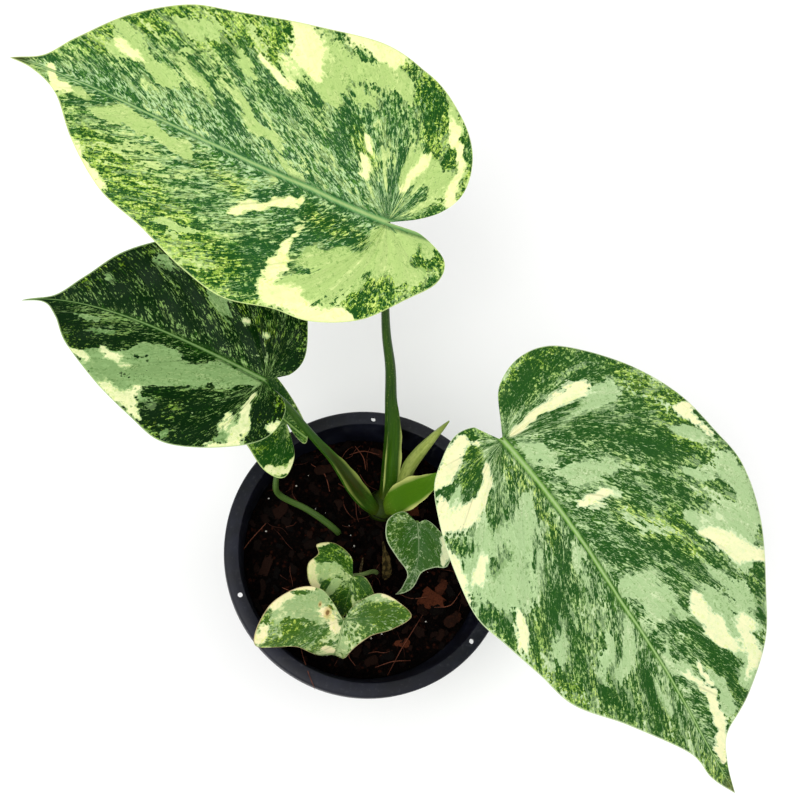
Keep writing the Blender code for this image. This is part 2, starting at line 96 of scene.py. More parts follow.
class Paint:
    def __init__(self, name, **fixed):
        self.material = bpy.data.materials.new(name)
        self.material.use_nodes = True
        self.tree = self.material.node_tree
        self.shader = self.tree.nodes["Principled BSDF"]
        for socket, value in fixed.items():
            self.shader.inputs[socket.replace("_", " ")].default_value = value

    def node(self, kind, settings=None, inputs=(), out=0):
        made = self.tree.nodes.new(kind)
        for setting, value in (settings or {}).items():
            setattr(made, setting, value)
        pairs = inputs.items() if isinstance(inputs, dict) else enumerate(inputs)
        for socket, value in pairs:
            if isinstance(value, Wire):
                self.tree.links.new(value.socket, made.inputs[socket])
            else:
                made.inputs[socket].default_value = value
        return Wire(self, made.outputs[out])

    def uv(self, name):
        return self.node("ShaderNodeUVMap", {"uv_map": name})

    def place(self):
        return self.node("ShaderNodeTexCoord", None, (), 3)

    def split(self, vector):
        return [self.node("ShaderNodeSeparateXYZ", None, (vector,), out) for out in range(3)]

    def attribute(self, name, out=0):
        return self.node("ShaderNodeAttribute", {"attribute_name": name}, (), out)

    def stretched(self, vector, factors):
        return self.node("ShaderNodeVectorMath", {"operation": "MULTIPLY"}, (vector, factors))

    def grain(self, vector, along, across):  # places counted in grains of this many millimetres
        return self.stretched(vector, (1 / along, 1 / across, 1))

    def moved(self, vector, other):
        return self.node("ShaderNodeVectorMath", {"operation": "ADD"}, (vector, other))

    def noise(self, vector, scale=1.0, detail=3.0, roughness=0.55, distortion=0.0, out=0):
        sockets = {"Vector": vector, "Scale": scale, "Detail": detail, "Roughness": roughness,
                   "Distortion": distortion}
        return self.node("ShaderNodeTexNoise", {"noise_dimensions": "3D"}, sockets, out)

    def cells(self, vector, scale=1.0, feature="F1", out=0):
        return self.node("ShaderNodeTexVoronoi", {"feature": feature}, {"Vector": vector, "Scale": scale}, out)

    def mix(self, amount, first, second):
        settings = {"data_type": "RGBA", "clamp_factor": True}
        return self.node("ShaderNodeMix", settings, {0: amount, 6: first, 7: second}, 2)

    def bump(self, height, distance, strength=1.0):
        return self.node("ShaderNodeBump", None, {"Height": height, "Distance": distance, "Strength": strength})

    def feed(self, **links):
        for socket, wire in links.items():
            self.tree.links.new(wire.socket, self.shader.inputs[socket.replace("_", " ")])
        return self.material


studioLift = dict(gain=1.17, veil=0.012)  # how far the light in this scene raises what a surface shows


def screen(red, green, blue):  # a colour as the lit picture shows it, turned into one for a socket
    linear = []
    for part in (red, green, blue):
        part = part / 255
        part = part / 12.92 if part <= 0.04045 else ((part + 0.055) / 1.055) ** 2.4
        linear.append(max(part - studioLift["veil"], 0.12 * part) / studioLift["gain"])
    return (*linear, 1.0)


# Making and closing pieces


def movedGrid(name, points):
    # A grid of rows and columns, each corner moved to its own place in millimetres
    rows, columns = points.shape[:2]
    bpy.ops.mesh.primitive_grid_add(x_subdivisions=columns - 1, y_subdivisions=rows - 1, size=1)
    piece = bpy.context.object
    piece.name = name
    flat = np.empty(rows * columns * 3)
    piece.data.vertices.foreach_get("co", flat)
    flat = flat.reshape(-1, 3)
    column = np.rint((flat[:, 0] + 0.5) * (columns - 1)).astype(int)
    row = np.rint((flat[:, 1] + 0.5) * (rows - 1)).astype(int)
    piece.data.vertices.foreach_set("co", (points[row, column] * mm).ravel())
    piece.data.update()
    while piece.data.uv_layers:
        piece.data.uv_layers.remove(piece.data.uv_layers[0])
    return piece, row, column


def putUv(piece, name, values):
    # values holds one pair for each corner of the mesh
    layer = piece.data.uv_layers.new(name=name)
    corners = np.empty(len(piece.data.loops), int)
    piece.data.loops.foreach_get("vertex_index", corners)
    layer.data.foreach_set("uv", values[corners].astype(np.float32).ravel())


def putAttribute(piece, name, values, kind="FLOAT"):
    layer = piece.data.attributes.new(name, kind, "POINT")
    layer.data.foreach_set("color" if kind == "FLOAT_COLOR" else "value", values.astype(np.float32).ravel())


def closeUp(piece, gap=0.01):
    # Merges the corners that meet and turns every face outwards
    bpy.ops.object.select_all(action="DESELECT")
    piece.select_set(True)
    bpy.context.view_layer.objects.active = piece
    bpy.ops.object.mode_set(mode="EDIT")
    bpy.ops.mesh.select_all(action="SELECT")
    bpy.ops.mesh.remove_doubles(threshold=gap * mm)
    bpy.ops.mesh.normals_make_consistent(inside=False)
    bpy.ops.object.mode_set(mode="OBJECT")


def trimSlivers(piece, rounds=40):
    # The merged tip of a leaf leaves a row of slivers with a free edge: they come off from that edge inwards
    bpy.ops.object.mode_set(mode="EDIT")
    for _ in range(rounds):
        bpy.ops.mesh.select_mode(type="EDGE")
        bpy.ops.mesh.select_all(action="DESELECT")
        bpy.ops.mesh.select_non_manifold(use_wire=False, use_multi_face=False, use_non_contiguous=False,
                                         use_verts=False)
        if not piece.data.total_edge_sel:
            break
        bpy.ops.mesh.select_mode(type="FACE", use_expand=True)
        bpy.ops.mesh.delete(type="FACE")
    bpy.ops.object.mode_set(mode="OBJECT")


def smoothed(piece, angle=50):
    bpy.ops.object.select_all(action="DESELECT")
    piece.select_set(True)
    bpy.context.view_layer.objects.active = piece
    bpy.ops.object.shade_smooth_by_angle(angle=math.radians(angle))


def finished(piece, material, slot, *nodes):
    piece.data.materials.clear()
    piece.data.materials.append(material)
    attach(piece, "root")
    if nodes:
        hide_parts(*nodes)
    return piece


# Leaf blades. Outlines run from the notch round the back lobe to the tip, in millimetres along the midrib and
# out from it. lean is the compass direction, pitch and roll where the stalk meets the blade, in degrees.

leafShapes = {
    "tall": dict(
        junction=(-18, 159, 330), lean=(170, 6, 10), length=238, arch=(12, 8), turn=(35, -36), backTilt=14,
        fold=(0.16, 6), droop=0.9, wave=(1.6, 3.5, 0.1), sweep=(0.8, 1.7), bend=0.17, rows=190, steps=24,
        right=((0, 0), (-12, 4), (-30, 15), (-41, 31), (-40, 53), (-27, 74), (-4, 93), (36, 102), (92, 92),
               (138, 77), (163, 68), (186, 48), (205, 22), (219, 6), (238, 0)),
        left=((0, 0), (-12, 0), (-24, 2), (-38, 13), (-36, 28), (-20, 43), (2, 61), (26, 71), (45, 72),
              (68, 77), (92, 71), (119, 61), (147, 54), (177, 36), (202, 14), (222, 4), (238, 0)),
    ),
    "left": dict(
        junction=(-82, 81, 262), lean=(155, 4, 4), length=160, arch=(14, 8), turn=(-6, -25), backTilt=16,
        fold=(0.2, 5), droop=1.2, wave=(1.2, 3, 0.4), sweep=(0.8, 1.6), bend=0.17, rows=160, steps=22,
        right=((0, 0), (-11, 9), (-15, 23), (-7, 42), (6, 62), (30, 73), (57, 70), (77, 60), (92, 50),
               (109, 36), (124, 17), (139, 3), (160, 0)),
        left=((0, 0), (-13, 4), (-20, 12), (-19, 28), (-9, 41), (15, 56), (38, 63), (61, 57), (92, 45),
              (122, 27), (135, 11), (145, 2), (160, 0)),
    ),
    "right": dict(
        junction=(68, 51, 258), lean=(-45, -2, 0), length=285, arch=(22, 10), turn=(20, -20), backTilt=12,
        fold=(0.16, 6), droop=1.0, wave=(1.8, 3.2, 0.25), sweep=(0.5, 1.6), bend=0.18, rows=200, steps=24,
        right=((0, 0), (-16, 5), (-23, 20), (-18, 39), (-8, 57), (13, 71), (39, 81), (71, 88), (97, 84),
               (126, 77), (156, 68), (191, 42), (233, 15), (258, 10), (285, 0)),
        left=((0, 0), (-14, 11), (-27, 24), (-31, 45), (-22, 67), (3, 88), (26, 103), (52, 113), (80, 116),
              (105, 118), (138, 108), (176, 86), (203, 68), (226, 39), (240, 15), (260, 6), (285, 0)),
    ),
    "tucked": dict(
        junction=(-63, 81, 178), lean=(140, 2, -8), length=86, arch=(20, 20), turn=(-5, 20), backTilt=-35,
        fold=(0.1, 4), droop=3.5, wave=(1.0, 2.5, 0.3), sweep=(1.1, 1.4), bend=0.12, rows=90, steps=14,
        right=((0, 0), (-10, -3), (-19, -4), (-20, -1), (-12, 7), (5, 15), (26, 21), (52, 25), (75, 16),
               (86, 0)),
        left=((0, 0), (-10, 6), (-22, 17), (-26, 32), (-12, 36), (10, 31), (29, 33), (51, 27), (70, 13),
              (86, 0)),
    ),
    "front": dict(
        junction=(-20, -52, 169), lean=(-100, -12, 2), length=55, arch=(124, 0), turn=(-6, 0),
        backTilt=-10, fold=(0.3, 4), droop=4.0, wave=(0.8, 2.0, 0.3), sweep=(1.1, 1.1), bend=0.12, rows=110,
        steps=16,
        right=((0, 0), (-10, 9), (-18, 20), (-16, 34), (-4, 48), (12, 55), (26, 53), (24, 40), (22, 26),
               (31, 13), (42, 5), (55, 0)),
        left=((0, 0), (-9, 3), (-18, 11), (-23, 20), (-20, 32), (-12, 43), (-1, 32), (6, 19), (18, 10),
              (32, 7), (44, 4), (55, 0)),
    ),
    "fan": dict(
        junction=(-13, -21, 158), lean=(-102, -8, 6), length=29, arch=(25, 15), turn=(-1, -12),
        backTilt=30, fold=(0.2, 3), droop=3.0, wave=(0.6, 2.0, 0.3), sweep=(1.1, 1.1), bend=0.12, rows=80,
        steps=12,
        right=((0, 0), (-13, 4), (-19, 17), (-15, 29), (-9, 27), (-1, 32), (10, 28), (19, 16), (29, 0)),
        left=((0, 0), (-2, 4), (-1, 9), (5, 15), (13, 19), (22, 12), (29, 0)),
    ),
    "tailed": dict(
        junction=(33, 19, 152), lean=(-81, -6, 0), length=56, arch=(14, 10), turn=(26, 59), backTilt=12,
        fold=(0.15, 3), droop=3.0, wave=(0.5, 2.0, 0.3), sweep=(1.1, 1.3), bend=0.12, rows=90, steps=14,
        right=((0, 0), (-9, 9), (-4, 21), (11, 23), (26, 15), (37, 5), (46, 3), (56, 0)),
        left=((0, 0), (-1, 7), (7, 15), (17, 22), (27, 21), (29, 12), (34, 4), (45, 3), (56, 0)),
    ),
}
bladeBuild = dict(
    thickness=0.8, rib=2.2, ribSpread=2.5, ribTaper=0.8,  # millimetres, and the share the rib loses at the tip
    firstShare=0.09, lobeShare=0.45, waveReach=0.15,
    groove=0.35, quilt=0.45, veinGap=17.0, pucker=0.5, patchEdge=((17.0, 6.0), (6.5, 3.0)), patchSeed=5,
)


def smoothLine(points, share):
    # A smooth curve through the points, at shares from 0 to 1 along it
    points = np.asarray(points, float)
    spans = len(points) - 1
    held = np.vstack([2 * points[0] - points[1], points, 2 * points[-1] - points[-2]])
    place = np.clip(np.asarray(share) * spans, 0, spans - 1e-9)
    index = place.astype(int)
    f = (place - index)[..., None]
    a, b, c, d = held[index], held[index + 1], held[index + 2], held[index + 3]
    return 0.5 * (2 * b + (c - a) * f + (2 * a - 5 * b + 4 * c - d) * f**2 + (3 * b - a - 3 * c + d) * f**3)


def leafAxes(leaf):
    # Along the midrib, to the right of it and out of the upper face, where the stalk meets the blade
    compass, pitch, roll = (math.radians(angle) for angle in leaf["lean"])
    along = np.array([math.cos(compass) * math.cos(pitch), math.sin(compass) * math.cos(pitch), math.sin(pitch)])
    right = np.array([math.sin(compass), -math.cos(compass), 0.0])
    normal = np.cross(right, along)
    rolled = right * math.cos(roll) + normal * math.sin(roll)
    return along, rolled, normal * math.cos(roll) - right * math.sin(roll)


def midribLine(leaf):
    # Where the midrib runs, with the directions to the right and upwards at each station
    length = leaf["length"]
    back = max(-min(along for along, out in leaf["right"] + leaf["left"]) + 4, 10)
    station = np.linspace(-back, length, 601)
    ahead = np.clip(station / length, 0, None)
    behind = np.clip(-station / length, 0, None)
    pitch = np.radians(-leaf["arch"][0] * ahead - leaf["arch"][1] * ahead**3 + leaf["backTilt"] * behind)
    heading = np.radians(leaf["turn"][0] * ahead + leaf["turn"][1] * ahead**4)
    along, right, normal = leafAxes(leaf)
    level = np.outer(np.cos(heading), along) + np.outer(np.sin(heading), right)
    rights = np.outer(np.cos(heading), right) - np.outer(np.sin(heading), along)
    forward = level * np.cos(pitch)[:, None] + normal * np.sin(pitch)[:, None]
    normals = -level * np.sin(pitch)[:, None] + normal * np.cos(pitch)[:, None]
    step = station[1] - station[0]
    places = np.vstack([np.zeros(3), np.cumsum((forward[1:] + forward[:-1]) / 2 * step, axis=0)])
    start = np.array([np.interp(0, station, places[:, k]) for k in range(3)])
    return station, places - start + np.array(leaf["junction"], float), rights, normals


def atStation(line, which, where):
    return np.stack([np.interp(where, line[0], line[which][:, k]) for k in range(3)], -1)


def veinStart(leaf, outline):
    # Where on the midrib the vein to each outline point leaves it: square at the base, slanting to the tip
    low, high = leaf["sweep"]
    sweep = low + (high - low) * np.clip(outline[:, 0] / (0.7 * leaf["length"]), 0, 1)
    return outline[:, 0] - sweep * outline[:, 1]


def veinGaps(leaf, share):
    # Millimetres from vein to vein, added up round the leaf at a little over half way out
    total = 0
    for side in ("right", "left"):
        outline = smoothLine(leaf[side], share)
        inner = np.clip(veinStart(leaf, outline), 0, leaf["length"])
        middle = outline * 0.6
        middle[:, 0] += inner * 0.4
        veinWay = outline - np.stack([inner, np.zeros_like(inner)], 1)
        veinWay /= np.maximum(np.linalg.norm(veinWay, axis=1), 1e-6)[:, None]
        step = np.diff(middle, axis=0)
        apart = np.abs(step[:, 0] * veinWay[1:, 1] - step[:, 1] * veinWay[1:, 0])
        total = total + np.concatenate([[0], np.cumsum(apart)]) / 2
    return total


def bladeHalf(leaf, line, hand, steps, ribShift):
    # One half, row by row along its veins: hand is 1 for the right of the midrib and -1 for the left
    build = bladeBuild
    share = np.linspace(build["firstShare"], 1, leaf["rows"] + 1)
    outlines = {1: smoothLine(leaf["right"], share), -1: smoothLine(leaf["left"], share)}
    starts = sum(veinStart(leaf, outline) for outline in outlines.values()) / 2
    starts = np.maximum.accumulate(np.clip(starts, 0, leaf["length"]))
    starts[-1] = leaf["length"]
    outer = outlines[hand]
    inner = np.stack([starts, np.zeros_like(starts)], 1)
    span = np.linalg.norm(outer - inner, axis=1)
    ramp = np.clip((share - build["firstShare"]) / build["lobeShare"], 0, 1)
    middle = (inner + outer) / 2 - np.stack([leaf["bend"] * ramp * span, np.zeros_like(span)], 1)
    out = steps[None, :, None]
    flat = inner[:, None] * (1 - out) ** 2 + 2 * middle[:, None] * out * (1 - out) + outer[:, None] * out**2
    along, across = flat[..., 0], flat[..., 1] * hand
    slope, rounding = leaf["fold"]
    height = slope * (np.sqrt(across**2 + rounding**2) - rounding) - leaf["droop"] * across**2 / 1000
    size, count, phase = leaf["wave"]
    ripple = np.sin(2 * math.pi * (count * share + phase) + (0 if hand > 0 else 1.9))
    ripple *= size * np.clip(span / (build["waveReach"] * leaf["length"]), 0, 1)
    height = height + steps[None, :] ** 2 * ripple[:, None]
    # The finer relief: a groove over the midrib, a low quilt between the side veins, and puckers
    around = np.broadcast_to(veinGaps(leaf, share)[:, None], along.shape)
    inland = (span[:, None] * steps[None, :]) * (1 - steps[None, :])
    ease = np.clip(inland / 12, 0, 1)
    offRib = across - np.interp(along, *zip(*ribShift))
    narrow = min(1.0, 0.25 + leaf["length"] / 200)
    groove = np.exp(-(offRib / (2.6 * narrow)) ** 2) - 1.25 * np.exp(-(offRib / (1.1 * narrow)) ** 2)
    height = height - build["groove"] * narrow * groove * np.clip(1.1 - along / leaf["length"], 0, 1)
    height = height + build["quilt"] * ease * (np.cos(2 * math.pi * around / build["veinGap"] + math.pi))
    pucker = np.sin(along / 9.3 + 1.7 * hand) * np.cos(across / 7.1 + along / 23) + 0.6 * np.sin(
        (along + across) / 4.7)
    height = height + build["pucker"] * ease * pucker
    up = atStation(line, 3, along)
    upper = atStation(line, 1, along) + atStation(line, 2, along) * across[..., None] + up * height[..., None]
    taper = 1 - build["ribTaper"] * np.clip(along / leaf["length"], 0, 1)
    rib = (build["rib"] - build["thickness"]) * taper
    thick = build["thickness"] + rib * np.exp(-(across**2 + np.minimum(along, 0) ** 2) / build["ribSpread"] ** 2)
    thick = thick * (1 - 0.45 * steps[None, :] ** 8)
    side = atStation(line, 2, along[:, -1]) * hand
    rimPush = side * 0.22
    lower = upper - up * thick[..., None]
    shorter = 1 + 0.8 * np.clip((0.42 - share) / 0.25, 0, 1)  # marks in the back lobes are rounder
    veinsUv = np.stack([hand * (span * shorter)[:, None] * steps[None, :], around], -1)
    planUv = np.stack([along, offRib], -1)
    reachUv = np.stack([span[:, None] * (1 - steps[None, :]), np.broadcast_to(steps[None, :], along.shape)], -1)
    return upper, lower, rimPush, np.concatenate([veinsUv, planUv, reachUv], -1)


def wandered(along, across, sizes):
    # Each place moved a little by smooth noise, so that the patches get bays and tongues
    noise.seed_set(bladeBuild["patchSeed"])
    shift = np.zeros((len(along), 2))
    for size, reach in sizes:
        for index, place in enumerate(zip(along / size, across / size)):
            gust = noise.noise_vector((*place, size))
            shift[index] += (reach * gust[0], reach * gust[1])
    return along + shift[:, 0], across + shift[:, 1]


def patchBias(spots, along, across, sizes):
    # How strongly the listed patches pull each place towards dark, sage, cream and warm green
    along, across = wandered(along, across, sizes)
    pull = np.zeros((*along.shape, 4))
    for kind, *points in spots:
        channel = ("dark", "sage", "cream", "warm").index(kind)
        for (x0, y0, r0), (x1, y1, r1) in zip(points, points[1:] or points):
            dx, dy = x1 - x0, y1 - y0
            t = np.clip(((along - x0) * dx + (across - y0) * dy) / max(dx * dx + dy * dy, 1e-6), 0, 1)
            distance = np.hypot(along - x0 - t * dx, across - y0 - t * dy)
            radius = r0 + (r1 - r0) * t
            inside = np.clip((radius - distance) / (1.3 * radius) + 0.5, 0, 1)
            pull[..., channel] = np.maximum(pull[..., channel], inside)
    return pull


def makeBlade(name, leaf, look, spots):
    line = midribLine(leaf)
    count = leaf["steps"]
    t = np.linspace(0, 1, count + 1)
    steps = t + 0.35 * (t * t * (3 - 2 * t) - t)  # a little closer at the midrib and at the margin
    upper, lower, maps, push = {}, {}, {}, {}
    for hand in (1, -1):
        upper[hand], lower[hand], push[hand], maps[hand] = bladeHalf(leaf, line, hand, steps, look["ribShift"])
    rows = leaf["rows"] + 1

    def rim(hand):
        middle = (upper[hand][:, -1] + lower[hand][:, -1]) / 2 + push[hand]
        return middle[:, None]

    top = [upper[-1][:, ::-1], upper[1][:, 1:]]
    under = [lower[1][:, ::-1], lower[-1][:, 1:]]
    points = np.concatenate([*top, rim(1), *under, rim(-1), upper[-1][:, -1:]], axis=1)
    flat = np.concatenate([maps[-1][:, ::-1], maps[1][:, 1:], maps[1][:, -1:], maps[1][:, ::-1], maps[-1][:, 1:],
                           maps[-1][:, -1:], maps[-1][:, -1:]], axis=1)
    half = 2 * count + 1
    under = np.zeros(points.shape[1])
    under[half] = 0.5
    under[half + 1:2 * half + 1] = 1
    under[2 * half + 1] = 0.5
    under = np.tile(under, (rows + 2, 1))
    def closing(row):  # the first vein and the tip are closed by a row at half the thickness
        middles = points[row].copy()
        mean = (points[row, :half] + points[row, half + 1:2 * half + 1][::-1]) / 2
        middles[:half] = mean
        middles[half] = mean[-1]
        middles[half + 1:2 * half + 1] = mean[::-1]
        middles[2 * half + 1] = mean[0]
        middles[-1] = mean[0]
        return middles[None]

    points = np.concatenate([closing(0), points, closing(-1)])
    flat = np.concatenate([flat[:1], flat, flat[-1:]])
    piece, row, column = movedGrid(name, points)
    flat = flat[row, column]
    putUv(piece, "veins", flat[:, 0:2])
    putUv(piece, "plan", flat[:, 2:4])
    putUv(piece, "reach", flat[:, 4:6])
    shift = np.interp(flat[:, 2], *zip(*look["ribShift"]))
    sizes = [(size * leaf["length"] / 240, reach * leaf["length"] / 240) for size, reach in bladeBuild["patchEdge"]]
    putAttribute(piece, "patches", patchBias(spots, flat[:, 2], flat[:, 3] + shift, sizes), "FLOAT_COLOR")
    putAttribute(piece, "under", under[row, column])
    closeUp(piece)
    trimSlivers(piece)
    smoothed(piece, 70)
    return piece


# Variegation: each layer of cells is green or pale on its own, so the tones lie over each other in crisp patches

leafLooks = {
    "tall": dict(
        dark=screen(34, 76, 2), cool=screen(40, 84, 42), green=screen(88, 138, 54), sage=screen(190, 216, 132),
        pale=screen(212, 230, 150), cream=screen(250, 250, 184), tip=screen(70, 62, 20), rib=screen(92, 146, 84),
        coolFleck=screen(184, 216, 158), warmFleck=screen(222, 238, 132),
        lime=screen(176, 212, 84),
        sageShare=0.61, creamShare=0.71, clumpShare=0.52, mottleShare=0.50, fleckShare=0.53, veilShare=0.54,
        inkShare=0.57, seed=3.1,
        ribShift=((0, 0), (50, 4), (100, 3), (150, 0), (200, -2), (238, 0)),
    ),
    # The left leaf's greens are darker than the other leaves': partly its own deeper green, partly painted shade, as it
    # lies under the tall leaf
    "left": dict(
        dark=screen(8, 44, 0), cool=screen(12, 48, 2), green=screen(48, 92, 14), sage=screen(140, 172, 112),
        pale=screen(176, 202, 138), cream=screen(238, 240, 184), tip=screen(64, 96, 58), rib=screen(56, 100, 34),
        coolFleck=screen(152, 188, 112), warmFleck=screen(196, 218, 110),
        lime=screen(128, 166, 44),
        shine=0.07,
        sageShare=0.69, creamShare=0.76, clumpShare=0.57, mottleShare=0.55, fleckShare=0.585, veilShare=0.65,
        inkShare=0.54, seed=11.7,
        ribShift=((0, 0), (80, 0), (160, 0)),
    ),
    "right": dict(
        dark=screen(38, 78, 10), cool=screen(38, 80, 32), green=screen(88, 130, 56), sage=screen(180, 208, 152),
        pale=screen(210, 228, 178), cream=screen(246, 241, 190), tip=screen(80, 84, 34), rib=screen(112, 160, 62),
        coolFleck=screen(182, 210, 152), warmFleck=screen(212, 230, 128),
        lime=screen(158, 196, 78),
        sageShare=0.63, creamShare=0.73, clumpShare=0.54, mottleShare=0.52, fleckShare=0.55, veilShare=0.54,
        inkShare=0.56, seed=23.9,
        ribShift=((0, 0), (50, 2), (120, 5), (180, 2), (240, 1), (285, 0)),
    ),
    "tucked": dict(
        dark=screen(36, 74, 10), cool=screen(38, 78, 32), green=screen(74, 116, 38), sage=screen(148, 182, 98),
        pale=screen(198, 220, 138), cream=screen(244, 244, 188), tip=screen(60, 90, 30), rib=screen(96, 140, 60),
        coolFleck=screen(150, 184, 120), warmFleck=screen(196, 220, 110),
        lime=screen(140, 180, 56),
        sageShare=0.65, creamShare=0.74, clumpShare=0.54, mottleShare=0.53, fleckShare=0.58, veilShare=0.60,
        inkShare=0.56, seed=37.3,
        ribShift=((0, 0), (86, 0)),
    ),
    "front": dict(
        dark=screen(62, 96, 22), cool=screen(60, 98, 50), green=screen(96, 132, 60), sage=screen(160, 186, 128),
        pale=screen(206, 218, 158), cream=screen(244, 232, 182), tip=screen(120, 110, 70), rib=screen(128, 158, 96),
        coolFleck=screen(204, 220, 180), warmFleck=screen(214, 226, 100),
        lime=screen(176, 200, 84), margin=screen(190, 166, 124),
        brownSpots=((-3.5, 12, 2.6), (-8, 18, 1.3)),
        sageShare=0.60, creamShare=0.70, clumpShare=0.52, mottleShare=0.50, fleckShare=0.56, veilShare=0.56,
        inkShare=0.57, seed=41.5,
        ribShift=((0, 0), (55, 0)),
    ),
    "fan": dict(
        dark=screen(44, 80, 8), cool=screen(56, 96, 32), green=screen(98, 136, 44), sage=screen(168, 196, 130),
        pale=screen(206, 222, 150), cream=screen(238, 228, 172), tip=screen(96, 130, 40), rib=screen(104, 144, 66),
        coolFleck=screen(156, 192, 104), warmFleck=screen(190, 214, 84),
        lime=screen(160, 196, 64), margin=screen(176, 168, 110),
        sageShare=0.64, creamShare=0.73, clumpShare=0.54, mottleShare=0.54, fleckShare=0.61, veilShare=0.60,
        inkShare=0.56, seed=53.2,
        ribShift=((0, 0), (29, 0)),
    ),
    "tailed": dict(
        dark=screen(58, 94, 34), cool=screen(62, 100, 50), green=screen(98, 132, 74), sage=screen(148, 178, 122),
        pale=screen(198, 214, 170), cream=screen(232, 234, 186), tip=screen(80, 110, 50), rib=screen(84, 116, 64),
        coolFleck=screen(196, 214, 176), warmFleck=screen(206, 220, 160),
        lime=screen(158, 186, 110),
        sageShare=0.65, creamShare=0.74, clumpShare=0.56, mottleShare=0.54, fleckShare=0.565, veilShare=0.62,
        inkShare=0.56, seed=67.9,
        ribShift=((0, 0), (56, 0)),
    ),
}
